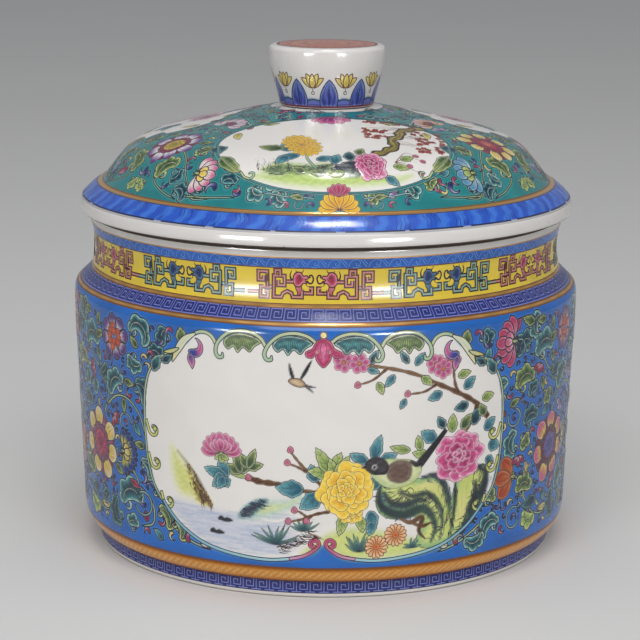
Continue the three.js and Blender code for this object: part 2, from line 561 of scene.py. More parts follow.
    def spray(self, length: float, width: float, tint: Tint, spread: float = 48.0) -> None:
        """Paint a leaf of three pointed lobes that fan out from one foot, the middle one last."""
        for angle in (-spread, spread, 0):
            reach = 0.76 if angle else 1.0
            self.at(0, 0, angle).leaf(length * reach, width, tint, -0.1 * np.sign(angle))

    def frond(self, radius: float, sweep: float, width: float, tint: Tint, count: int = 4) -> None:
        """Paint a scroll leaf: a full crescent with a softly lobed outer side, a fold and a curled end.

        The spine is an arc whose radius shrinks to half. The half widths are powers of a sine, and the
        outer one is cut by shallow notches, from which ribs run in to the fold.

        Args:
            radius: radius of the spine at its foot.
            sweep: degrees that it goes round.
            width: full width at the middle.
            tint: its colours.
            count: number of lobes.
        """
        t = np.linspace(0, 1, 40)
        spine = arc(radius, 0, sweep, radius * 0.5, 40)
        normal, swell = sideways(spine), width * np.sin(np.pi * (0.06 + 0.9 * t ** 0.9)) ** 0.7
        outer, inner = 0.66 * swell * (0.74 + 0.3 * np.abs(np.sin(np.pi * count * t))), 0.36 * swell
        end, size = math.radians(sweep + 90), 0.26 * width
        tail = self.at(*(spine[-3] + size * np.array([-math.sin(end), math.cos(end)])), sweep + 90)
        tail.comma(size, replace(tint, root=tint.tip, tip=tint.rim), 290, 0.46)
        self.blob(np.vstack([spine + normal * inner[:, None], (spine - normal * outer[:, None])[::-1]]),
                  tint, 0.4 * width, FINE, 1)
        fold = spine - normal * (0.12 * swell)[:, None]
        for i in range(1, count):
            k = round(i / count * 39)
            notch = spine[k] - normal[k] * outer[k]
            self.line([fold[k - 3], (fold[k - 1] + notch) / 2, notch], 0.15)
        self.blade(fold[3:-2], 0.24, 0.24, Tint(tint.rim, tint.rim), Brush(Ink.DARK, 0.14))

    def comma(self, radius: float, tint: Tint, sweep: float = 250.0, fat: float = 0.5) -> None:
        """Paint a curled bud: a spiral from a thin tail to a round head.

        Args:
            radius: radius of the curl at its tail.
            tint: colours from the tail to the head.
            sweep: degrees of the spiral.
            fat: half width of the head, as a share of the radius.
        """
        t = np.linspace(0, 1, 26)
        half = radius * fat * t ** 0.7 * np.sqrt(np.clip(1 - t ** 8, 0, 1)) + 0.04
        self.blade(arc(radius, -90, sweep, radius * 0.3, 26), half, half, tint)

    def petals(self, count: int, inner: float, outer: float, width: float, tint: Tint, brush: Brush = FINE,
               start: float = 90.0, sweep: float = 360.0, point: float = 0.5, veins: bool = True) -> None:
        """Paint petals that fan out from the origin; where they leave a gap, the middle one comes last.

        A petal's half width is the sine of pi times its place to the power of 1 + point, so that a
        small point gives a round petal and a large one a full tip.

        Args:
            count: number of petals.
            inner: where a petal starts.
            outer: where it ends.
            width: its width.
            tint: its colours.
            brush: how it is laid.
            start: angle of the middle petal.
            sweep: angle that they fill.
            point: how far out the petal is widest.
            veins: whether each has fine veins.
        """
        offsets = np.arange(count) * 360 / count
        if sweep < 360:
            offsets = np.array(sorted(np.linspace(-sweep / 2, sweep / 2, count), key=lambda a: -abs(a)))
        t = np.linspace(0, 1, 18)
        half = width / 2 * np.clip(np.sin(np.pi * t ** (1 + point)), 0, 1) ** 0.62
        half[0] = width * 0.12
        long = outer - inner
        for angle in offsets:
            pen = self.at(0, 0, start - 90 + angle)
            pen.blade(np.stack([0 * t, inner + long * t], 1), half, half, tint, brush)
            for side in (-0.4, 0.0, 0.4) if veins else ():
                pen.line([(side * width * 0.25, inner + long * 0.12),
                          (side * width * 0.55, inner + long * 0.45),
                          (side * width * 0.5, inner + long * 0.72)], 0.09, brush.ink or Ink.DARK, True)

    def ruffle(self, radius: float, tints: Sequence[Tint], seed: int, brush: Brush = THIN,
               rings: int = 4) -> None:
        """Paint a full ruffled bloom: rings of scalloped lobes, the outer ring first.

        A lobe is a fan whose radius is cut by shallow scallops.

        Args:
            radius: radius of the bloom.
            tints: colours of the rings, outer to inner, reused in turn.
            seed: seed of the small differences between lobes.
            brush: how each lobe is laid.
            rings: number of rings.
        """
        draw = np.random.default_rng(seed)
        self.dot(0, 0, radius * 0.55, tints[0], BARE)
        for ring in range(rings):
            share = 1 - ring / (rings + 0.35)
            count = max(4, int(round(3 + 5 * share)))
            for k in range(count):
                reach = radius * share * 0.66 * draw.uniform(0.82, 1.14)
                spread = math.radians(58 + 10 * ring)
                a = np.linspace(-spread, spread, 21)
                wave = np.abs(np.sin(a * draw.uniform(2.4, 3.4) + draw.uniform(0, 3)))
                edge = reach * (0.86 + 0.17 * wave) * np.cos(a * 0.5)
                fan = np.vstack([[(0, -0.15 * reach)],
                                 np.stack([edge * np.sin(a) * 0.92, edge * np.cos(a)], 1)])
                pen = self.at(0, 0, 360 * k / count + 47 * ring + draw.uniform(-14, 14))
                pen = pen.at(0, radius * share * 0.34, draw.uniform(-10, 10))
                pen.blob(fan, tints[ring % len(tints)], reach * 0.62, brush, 1)
                for b in (-0.5, -0.15, 0.25, 0.6):
                    pen.line([(b * 0.3 * reach, 0.2 * reach), (b * 0.75 * reach, 0.6 * reach)], 0.07,
                             brush.ink or Ink.RED, True)

    def hatch(self, points: Points, spread: float, reach: float, lean: float, count: int,
              draw: np.random.Generator, width: float = 0.24, inks: Sequence[Ink] = (Ink.DARK,)) -> None:
        """Brush short strokes along a line: each starts beside it and runs on at the lean.

        Args:
            points: points that the line goes through.
            spread: how far from the line a stroke may start.
            reach: length of the longest strokes; the shortest are half of it.
            lean: angle from the line's own way, in degrees.
            count: number of strokes.
            draw: source of their differences.
            width: width of a stroke.
            inks: their colours.
        """
        spine = through(points)
        side, way = sideways(spine), np.gradient(spine, axis=0)
        for _ in range(count):
            k = int(draw.integers(len(spine)))
            start = spine[k] + side[k] * draw.uniform(-spread, spread)
            angle = math.atan2(way[k, 1], way[k, 0]) + math.radians(lean + draw.uniform(-16, 16))
            step = draw.uniform(0.5, 1) * reach * np.array([math.cos(angle), math.sin(angle)])
            bow = np.array([-step[1], step[0]]) * draw.uniform(-0.18, 0.18)
            ink = inks[int(draw.integers(len(inks)))]
            self.line([start, start + step / 2 + bow, start + step], width * draw.uniform(0.6, 1.2), ink,
                      True)

    def scatter(self, across: tuple[float, float], up: tuple[float, float],
                inside: Callable[[Array, Array], Array], seed: int,
                kinds: Sequence[Filler] = tuple(Filler)) -> None:
        """Fill what is left of a ground with scroll leaves, leaves, buds and tendrils, the largest first.

        Each pass tries the points of a shaken grid in random order and paints where the ground is bare.

        Args:
            across: lowest and highest x that are tried.
            up: lowest and highest y.
            inside: tells from x and y which points lie on the ground.
            seed: seed of the choices.
            kinds: what is painted, in order.
        """
        draw = np.random.default_rng(seed)
        for kind in kinds:
            gap, size, pitch = kind.value
            tries = np.meshgrid(np.arange(*across, pitch), np.arange(*up, pitch))
            grid = np.stack(tries, -1).reshape(-1, 2)
            grid = grid + draw.uniform(-0.4, 0.4, grid.shape) * pitch
            for x, y in draw.permutation(grid[inside(grid[:, 0], grid[:, 1])]):
                turn, pick, flip = draw.uniform(0, 360), int(draw.integers(4)), bool(draw.integers(2))
                look = BLOSSOM if flip else ROSE_BUD
                if not self.canvas.bare(*self.place((x, y)), gap):
                    continue
                pen = self.at(x, y, turn, flip)
                if kind is Filler.FROND:
                    pen.at(-0.5, -1.0).frond(size * 0.9, 150, size * 2,
                                             (TEAL, OLIVE, TEAL, DEEP_TEAL)[pick], 3)
                elif kind is Filler.LEAF and pick < 2:
                    pen.at(0, -size).leaf(size * 2, size * 1.2, (OLIVE, BLUE_LEAF)[pick], 0.35, 1)
                elif kind is Filler.LEAF and pick == 2:
                    pen.at(0, -size * 0.6).petals(3, 0, size * 1.6, size * 0.9, look, sweep=100,
                                                  veins=False)
                elif kind is Filler.TENDRIL and pick < 2:
                    pen.vine(arc(size * 0.8, 0, 270, size * 0.35, 7), size * 0.35, ICE_STEM)
                else:
                    pen.comma(size * 0.95, (NAVY_BUD, ROSE_BUD, GOLD_BUD, NAVY_BUD)[pick])


def bezier(points: Points, steps: int) -> Array:
    """Points along a Bezier curve of two to four points, by repeated blending of neighbours."""
    t = np.linspace(0, 1, steps + 1)[:, None]
    level = [np.asarray(p, float)[None, :] for p in points]
    while len(level) > 1:
        level = [a * (1 - t) + b * t for a, b in zip(level, level[1:])]
    return level[0]


def section(start: tuple[float, float], *spans: tuple) -> Array:
    """Join Bezier spans into one outline in (radius, height).

    Args:
        start: its first point.
        spans: for each span its number of parts and its points after the first, which is where the
            span before it ended.

    Returns:
        The points of the outline.
    """
    outline = np.array([start], float)
    for steps, *points in spans:
        outline = np.vstack([outline, bezier([outline[-1], *points], steps)[1:]])
    return outline


@dataclass
class Profile:
    """One side of a turned form, from which points and normals are read by a parameter."""
    points: Array
    key: Array

    def __post_init__(self) -> None:
        """Work out the outward normals, which lie to the right of the way along the profile."""
        self.normals = -sideways(self.points)

    def read(self, key: Array) -> tuple[Array, Array, Array, Array]:
        """Radius, height and the two parts of the normal at each value of the parameter."""
        radius, height = (np.interp(key, self.key, self.points[:, i]) for i in (0, 1))
        out, up = (np.interp(key, self.key, self.normals[:, i]) for i in (0, 1))
        size = np.maximum(np.hypot(out, up), 1e-9)
        return radius, height, out / size, up / size


@dataclass
class Wrap:
    """How a flat canvas lies on a turned form.

    On the jar and the knob x is the angle times a fixed radius and y is the profile's parameter. On
    the lid the canvas is a disc: its distance from the middle is the arc length from the axis.
    """
    profile: Profile
    arc_radius: float
    disc: bool = False
    turn: float = 0.0

    def lay(self, x: Array, y: Array, lift: Array | float) -> tuple[Array, Array]:
        """Carry canvas points to points and unit normals in millimetres, at a height over the profile."""
        angle, key = (np.arctan2(x, -y), np.hypot(x, y)) if self.disc else (x / self.arc_radius, y)
        angle = angle + math.radians(self.turn)
        radius, height, out, up = self.profile.read(key)
        s, c = np.sin(angle), -np.cos(angle)
        points = np.stack([(radius + out * lift) * s, (radius + out * lift) * c, height + up * lift], -1)
        return points, np.stack([out * s, out * c, up], -1)


@dataclass
class JarForm:
    """Sizes of the jar's outline, the same as the turned solid's."""
    foot: float = 71.0
    foot_height: float = 5.2
    ring_inner: float = 64.5
    recess: float = 3.6
    edge: float = 1.1
    heel: float = 72.3
    base: float = 75.7
    heel_top: float = 13.6
    belly: float = 77.9
    wall_top: float = 79.0
    shoulder_foot: float = 81.4
    neck_foot: float = 85.6
    neck_foot_radius: float = 72.7
    waist: float = 71.5
    lip_foot: float = 100.0
    lip: float = 72.6
    mouth: float = 102.7
    throat: float = 65.6
    floor: float = 9.0
    wall: float = 5.0
    heel_pull: float = 3.36
    wall_bulge: float = 0.5
    shoulder_pull: float = 1.2
    shoulder_inset: float = 0.8
    lip_edge: float = 0.9
    inner_rise: float = 16.0
    inner_pull: float = 5.33
    floor_corner: float = 9.0

    def outside(self) -> Array:
        """The outside from the foot's lower edge up to the lip's upper edge."""
        rise = (self.wall_top - self.heel_top) / 3
        pull = (4 * self.waist - self.neck_foot_radius / 2 - self.lip / 2) / 3
        neck = (self.lip_foot - self.neck_foot) * 0.3
        return section(
            (self.foot - self.edge, 0),
            (8, (self.foot, 0), (self.foot, self.edge)),
            (6, (self.foot, self.foot_height)),
            (3, (self.heel, self.foot_height)),
            (16, (self.base, self.foot_height + self.heel_pull), (self.base, self.heel_top)),
            (24, (self.base + self.wall_bulge, self.heel_top + rise), (self.belly, self.wall_top - rise),
             (self.belly, self.wall_top)),
            (10, (self.belly, self.wall_top + self.shoulder_pull),
             (self.belly - self.shoulder_inset, self.shoulder_foot)),
            (6, (self.neck_foot_radius, self.neck_foot)),
            (18, (pull, self.neck_foot + neck), (pull, self.lip_foot - neck), (self.lip, self.lip_foot)),
            (4, (self.lip, self.mouth - self.lip_edge)),
            (8, (self.lip, self.mouth), (self.lip - self.lip_edge, self.mouth)))

    def inside(self) -> Array:
        """The rest of the outline: over the lip, down the inside and across the floor."""
        inner, base = self.belly - self.wall, self.base - self.wall
        turn, pull = self.neck_foot - self.inner_rise, self.neck_foot - self.inner_pull
        return section(
            (self.throat + self.lip_edge, self.mouth),
            (8, (self.throat, self.mouth), (self.throat, self.mouth - self.lip_edge)),
            (6, (self.throat, self.neck_foot)),
            (20, (self.throat, pull), (inner, pull), (inner, turn)),
            (10, (base, self.floor + self.floor_corner)),
            (14, (base, self.floor), (base - self.floor_corner, self.floor)),
            (12, (0, self.floor)))

    def underside(self) -> Array:
        """The outline under the foot, from the axis out to the ring's standing edge."""
        return section((0, self.recess), (10, (self.ring_inner, self.recess)),
                       (2, (self.ring_inner, self.edge)),
                       (6, (self.ring_inner, 0), (self.ring_inner + self.edge, 0)))


@dataclass
class LidForm:
    """Sizes of the lid's outline, the same as the turned solid's."""
    seat: float = 103.0
    rim: float = 75.9
    rim_edge: float = 1.8
    band_foot: float = 108.0
    band: float = 75.0
    band_top: float = 112.1
    dome_foot: float = 69.2
    ledge: float = 70.1
    dome_top: float = 134.3
    ring: float = 18.4
    knob_seat: float = 134.8
    knob_foot: float = 14.6
    flange_outer: float = 64.8
    flange_inner: float = 61.0
    flange_foot: float = 95.0
    wall: float = 4.6
    rim_turn: float = 0.9
    fullness: float = 0.35
    chamfer: float = 1.0
    seat_pull: tuple[float, float] = (1.6, 0.15)
    foot_pull: tuple[float, float] = (0.224, 0.276)
    top_pull: tuple[float, float] = (0.885, 0.185)

    def dome(self, foot: tuple[float, float], top: tuple[float, float], steps: int) -> tuple:
        """The dome's span from its foot up: a quick rise, then a low slope to its top."""
        width = foot[0] - top[0]
        low = (foot[0] - width * self.foot_pull[0], foot[1] + width * self.foot_pull[1])
        high = (top[0] + width * self.top_pull[0], top[1] - width * self.top_pull[1])
        return steps, low, high, top

    def outside(self) -> Array:
        """The outside from the rim's lower edge up to the knob's seat."""
        middle = ((self.band + self.ledge) / 2 + self.fullness,
                  (self.band_foot + self.band_top) / 2 + self.fullness)
        foot = (self.dome_foot, self.band_top)
        return section(
            (self.rim - self.rim_edge, self.seat),
            (12, (self.rim, self.seat), (self.rim, self.seat + self.rim_edge)),
            (12, (self.rim, self.band_foot - self.rim_turn), (self.band, self.band_foot)),
            (14, middle, (self.ledge, self.band_top)),
            (2, foot),
            self.dome(foot, (self.ring, self.dome_top), 48),
            (10, (self.knob_foot + self.seat_pull[0], self.dome_top + self.seat_pull[1]),
             (self.knob_foot, self.knob_seat)),
            (4, (0, self.knob_seat)))

    def underside(self) -> Array:
        """The outline from the middle of the hollow down the flange and out to the rim."""
        foot, top = (self.dome_foot - self.wall, self.band_top), (self.ring, self.dome_top - self.wall)
        hollow = section(foot, self.dome(foot, top, 28), (4, (0, top[1])))[::-1]
        flange = section(foot, (6, (self.flange_inner, self.seat)),
                         (5, (self.flange_inner, self.flange_foot)),
                         (2, (self.flange_outer - self.chamfer, self.flange_foot)),
                         (2, (self.flange_outer, self.flange_foot + self.chamfer)),
                         (5, (self.flange_outer, self.seat)))
        return np.vstack([hollow, flange[1:]])


@dataclass
class KnobForm:
    """Sizes of the knob's outline, the same as the turned solid's."""
    seat: float = 135.1
    top: float = 153.7
    foot: float = 14.3
    wide: float = 17.8
    crown: float = 15.7
    middle: float = 16.05
    flare: float = 6.3
    shoulder: float = 1.9
    top_rise: float = 0.3

    def outside(self) -> Array:
        """The outside from the foot up to the middle of the top."""
        edge = self.top - self.top_rise
        return section(
            (self.foot, self.seat),
            (30, (self.middle, self.seat + self.flare), (self.wide, self.top - self.flare),
             (self.wide, self.top - self.shoulder)),
            (12, (self.wide, edge), (self.crown, edge)),
            (14, (0, self.top)))


def link(name: str, data: bpy.types.ID) -> bpy.types.Object:
    """Put a new object that holds the data into the scene, at the origin."""
    thing = bpy.data.objects.new(name, data)
    bpy.context.scene.collection.objects.link(thing)
    return thing


def link_piece(name: str, mesh: bpy.types.Mesh) -> bpy.types.Object:
    """Put a mesh into the scene as a smooth object."""
    mesh.polygons.foreach_set("use_smooth", np.ones(len(mesh.polygons), bool))
    return link(name, mesh)


def new_mesh(name: str, points: Array, faces: Array, normals: Optional[Array] = None) -> bpy.types.Object:
    """Make a mesh object.

    Args:
        name: the piece's name.
        points: corner positions in millimetres.
        faces: corner numbers, four to a face.
        normals: unit normals at the corners, or None for the mesh's own.

    Returns:
        The object.
    """
    mesh = bpy.data.meshes.new(name)
    mesh.vertices.add(len(points))
    mesh.vertices.foreach_set("co", (np.asarray(points, np.float32) * MM).ravel())
    mesh.loops.add(faces.size)
    mesh.loops.foreach_set("vertex_index", np.asarray(faces, np.int32).ravel())
    mesh.polygons.add(len(faces))
    mesh.polygons.foreach_set("loop_start", np.arange(0, faces.size, 4, dtype=np.int32))
    piece = link_piece(name, mesh)
    mesh.update(calc_edges=True)
    mesh.validate()
    if normals is not None:
        mesh.normals_split_custom_set_from_vertices(np.asarray(normals, np.float32))
    return piece


def grid_faces(rows: int, columns: int, closed: bool = False) -> Array:
    """Faces of a grid whose points are numbered row by row, turned to face out of the form.

    Args:
        rows: points up.
        columns: points across.
        closed: whether the last column joins the first.

    Returns:
        Corner numbers, four to a face.
    """
    across = np.arange(columns if closed else columns - 1)
    low = np.arange(rows - 1)[:, None] * columns
    a, b = low + across, low + (across + 1) % columns
    return np.stack([a, b, b + columns, a + columns], -1).reshape(-1, 4)


def turned(name: str, outline: Array, sections: int) -> bpy.types.Object:
    """Spin a closed outline into a solid, with its poles closed by a fan.

    Each ring is the outline point's radius times the sine and cosine of the angle. The outline is
    drawn in along its normals, so that the painted skins lie over it.

    Args:
        name: the piece's name.
        outline: from the axis, round the section and back to the axis, as (radius, height).
        sections: facets round.

    Returns:
        The object.
    """
    outline = outline[np.concatenate([[True], np.hypot(*np.diff(outline, axis=0).T) > 1e-4])]
    outline = outline + sideways(outline) * INSET
    outline[[0, -1], 0] = 0
    angle = np.linspace(0, 2 * np.pi, sections, endpoint=False)
    ring = outline[1:-1]
    x, y = ring[:, :1] * np.sin(angle), -ring[:, :1] * np.cos(angle)
    points = np.stack([x, y, np.broadcast_to(ring[:, 1:], x.shape)], -1).reshape(-1, 3)
    poles = [[0, 0, outline[0, 1]], [0, 0, outline[-1, 1]]]
    k = np.arange(sections)
    following, last, pole = (k + 1) % sections, (len(ring) - 1) * sections, np.full(sections, len(points))
    fans = np.concatenate([np.stack([pole, following, k], 1),
                           np.stack([pole + 1, last + k, last + following], 1)])
    mesh = bpy.data.meshes.new(name)
    faces = grid_faces(len(ring), sections, closed=True).tolist() + fans.tolist()
    mesh.from_pydata((np.vstack([points, poles]) * MM).tolist(), [], faces)
    piece = link_piece(name, mesh)
    mesh.set_sharp_from_angle(angle=math.radians(40))
    return piece


def skin(name: str, canvas: Canvas, wrap: Wrap, across: Array, up: Array, lift: float,
         tuck: tuple[bool, bool]) -> bpy.types.Object:
    """Wrap a patch of painted canvas on its form as a grid of points that carry the paint.

    The height over the form is the lift plus the paint's relief, and the normals lean by the slope of
    the relief, which is the difference of its neighbours.

    Args:
        name: the piece's name.
        canvas: the painting.
        wrap: how it lies.
        across: canvas x, or angles on a disc canvas.
        up: canvas y, or distances from the middle on a disc canvas.
        lift: height of bare paint over the form.
        tuck: whether the lowest and the highest row are turned in under the surface.

    Returns:
        The object, with the attributes paint and gilt, and a UV map for baking.
    """
    a, b = np.meshgrid(across, up)
    x, y = (b * np.sin(a), -b * np.cos(a)) if wrap.disc else (a, b)
    relief = canvas.sample(canvas.relief, x, y)
    height = lift + relief * RELIEF_RISE
    for row, tucked in zip((0, -1), tuck):
        height[row] = TUCK if tucked else height[row]
    points, normals = wrap.lay(x, y, height)
    for axis in (0, 1):
        step = np.gradient(points, axis=axis)
        slope = np.gradient(relief * RELIEF_LEAN, axis=axis)[..., None]
        size = np.maximum(np.linalg.norm(step, axis=-1, keepdims=True), 1e-6)
        normals = normals - step / size * slope / size
    normals /= np.linalg.norm(normals, axis=-1, keepdims=True)
    rows, columns = a.shape
    faces = grid_faces(rows, columns)
    piece = new_mesh(name, points.reshape(-1, 3), faces[:, ::-1] if wrap.disc else faces,
                     normals.reshape(-1, 3))
    mesh = piece.data
    rgba = np.ones((a.size, 4), np.float32)
    rgba[:, :3] = linear(canvas.sample(canvas.rgb, x, y).reshape(-1, 3))
    mesh.color_attributes.new("paint", "FLOAT_COLOR", "POINT").data.foreach_set("color", rgba.ravel())
    gilt = canvas.sample(canvas.gilt, x, y).ravel().astype(np.float32)
    mesh.attributes.new("gilt", "FLOAT", "POINT").data.foreach_set("value", gilt)
    corners = np.empty(len(mesh.loops), np.int32)
    mesh.loops.foreach_get("vertex_index", corners)
    chart = np.stack([corners % columns / (columns - 1), corners // columns / (rows - 1)], 1)
    mesh.uv_layers.new(name="OFBake").data.foreach_set("uv", chart.astype(np.float32).ravel())
    return piece


def line_work(name: str, canvas: Canvas, wrap: Wrap, ink: Ink, lift: float,
              span: tuple[float, float]) -> Optional[bpy.types.Object]:
    """Build the lines of one ink as narrow ribbons that lie on the paint.

    A ribbon's sides are its points plus and minus half the width along the mitre of its corners. A
    part is left out where something painted later covers it.

    Args:
        name: the piece's name.
        canvas: the painting that holds the lines.
        wrap: how the canvas lies on its form.
        ink: which lines.
        lift: height over the form.
        span: lowest and highest canvas x that are kept.

    Returns:
        The object, or None where there is no such line.
    """
    points, faces, start = [], [], 0
    rows, columns = canvas.top.shape
    for line in canvas.lines:
        if line.ink is not ink:
            continue
        keep = np.concatenate([[True], np.hypot(*np.diff(line.points, axis=0).T) > 1e-5])
        p, wide = line.points[keep], line.width[keep]
        if len(p) < 2:
            continue
        run = np.diff(p, axis=0)
        run /= np.hypot(*run.T)[:, None]
        normal = np.stack([-run[:, 1], run[:, 0]], 1)
        closed = np.hypot(*(p[0] - p[-1])) < 1e-4
        before = np.vstack([normal[-1:] if closed else normal[:1], normal])
        after = np.vstack([normal, normal[:1] if closed else normal[-1:]])
        mitre = before + after
        mitre /= np.maximum((mitre * after).sum(1), MITRE_LIMIT)[:, None]
        side = mitre * (wide / 2)[:, None]
        middle = (p[1:] + p[:-1]) / 2
        cell = ((middle - canvas.low) / CELL).astype(int)
        row, column = np.clip(cell[:, 1], 0, rows - 1), np.clip(cell[:, 0], 0, columns - 1)
        seen = canvas.top[row, column] <= line.order
        seen &= (middle[:, 0] >= span[0]) & (middle[:, 0] < span[1])
        points.append(wrap.lay(*np.vstack([p + side, p - side]).T, lift + line.lift)[0])
        k = np.arange(len(p) - 1)[seen] + start
        faces.append(np.stack([k, k + len(p), k + len(p) + 1, k + 1], 1))
        start += 2 * len(p)
    if sum(map(len, faces)) == 0:
        return None
    used, numbers = np.unique(np.vstack(faces), return_inverse=True)
    return new_mesh(name, np.vstack(points)[used], numbers.reshape(-1, 4))


@dataclass(frozen=True)
class Bouquet:
    """Colours of one floral zone: the main bloom, its heart and core, and the blooms beside it."""
    petal: Tint
    heart: Tint
    core: Tint
    fan: Tint
    seed: int
    shift: float = 0.0


BOUQUETS: tuple[Bouquet, ...] = (
    Bouquet(Tint((236, 202, 74), (240, 212, 168), (246, 236, 204), 0.5, 0.12, (0.35, 0.95)),
            Tint((206, 84, 130), (120, 50, 98), (222, 160, 190), 0.3, 0.2),
            Tint((118, 22, 58), (188, 50, 94), strokes=0.3),
            Tint((240, 220, 96), (26, 56, 140), (176, 204, 232), 0.25, 0.15, (0.4, 0.8)), 3, -2.2),
    Bouquet(Tint((240, 214, 96), (208, 96, 140), (246, 218, 214), 0.4, 0.12, (0.3, 0.85)),
            Tint((122, 34, 62), (96, 34, 66), (214, 160, 130), 0.25, 0.2),
            Tint((50, 56, 124), (98, 98, 168), strokes=0.3),
            Tint((236, 226, 180), (56, 96, 176), (214, 228, 238), 0.3, 0.15, (0.35, 0.8)), 5, 2.6),
    Bouquet(Tint((246, 222, 222), (196, 74, 126), (246, 226, 234), 0.4, 0.14, (0.3, 0.9)),
            Tint((222, 156, 48), (190, 108, 36), (246, 222, 150), 0.3, 0.2),
            Tint((140, 56, 30), (208, 112, 46), strokes=0.3),
            Tint((244, 222, 130), (140, 54, 112), (240, 226, 214), 0.3, 0.15, (0.35, 0.75)), 7))


def lotus(pen: Pen, radius: float, look: Bouquet, count: int = 7, point: float = 0.62) -> None:
    """Paint an open bloom seen from the front: broad petals, a scalloped heart and a streaked core.

    Args:
        pen: pen at its middle.
        radius: its radius.
        look: its colours.
        count: number of petals.
        point: how far out the petals are widest.
    """
    pen.petals(count, radius * 0.5, radius * 0.86, radius * 0.36, look.heart, start=90 + 180 / count,
               veins=False)
    for k in range(count):
        reach = radius * (0.97 + 0.05 * math.sin(3 * k + look.seed))
        leaning = pen.at(0, 0, 360 * k / count + 4 * math.sin(5 * k))
        leaning.petals(1, radius * 0.28, reach, radius * 3.6 / count, look.petal, point=point)
    pen.petals(13, radius * 0.2, radius * 0.54, radius * 0.28, look.heart, start=8, point=0.6, veins=False)
    pen.dot(0, 0, radius * 0.36, look.core, Brush(Ink.RED, 0.15))
    for angle in np.arange(14) * 137.5:
        ring = radius * 0.3 * math.sqrt((angle + 60) / 1930)
        pen.at(0, 0, angle).at(ring, 0).line(arc(radius * 0.05, -100, 200, steps=5), 0.12, Ink.RED)


def rosette(pen: Pen, radius: float, petal: Tint, scale: Tint) -> None:
    """Paint a bloom of eight round petals about an oval heart of overlapping scales.

    Args:
        pen: pen at its middle.
        radius: its radius.
        petal: colours of the petals.
        scale: colours of the heart's scales.
    """
    pen.petals(8, radius * 0.25, radius, radius * 0.58, petal, start=10, point=0.9)
    for row, half in enumerate((0.1, 0.28, 0.34, 0.28, 0.12)):
        for x in np.linspace(-half, half, 1 + row % 2 + (half > 0.2)):
            pen.dot(x * radius, (0.44 - 0.22 * row) * radius, radius * 0.18, scale, THIN)


def fan_bloom(pen: Pen, radius: float, petal: Tint, inner: Tint, spread: float = 150.0,
              serrate: bool = False) -> None:
    """Paint a bloom seen from its side: petals that fan out up the y axis over a calyx.

    Args:
        pen: pen at its foot.
        radius: its height.
        petal: colours of the outer petals.
        inner: colours of the inner ones.
        spread: angle that they fill.
        serrate: whether a row of narrow dark tips stands behind them.
    """
    if serrate:
        pen.petals(13, radius * 0.5, radius * 1.08, radius * 0.22, NAVY_BUD, sweep=spread + 8, veins=False)
    pen.petals(7, radius * 0.08, radius, radius * 0.5, petal, sweep=spread)
    pen.petals(3, radius * 0.04, radius * 0.56, radius * 0.34, inner, sweep=spread * 0.45, veins=False)
    pen.petals(3, -radius * 0.2, radius * 0.16, radius * 0.16, OLIVE, sweep=100, veins=False)


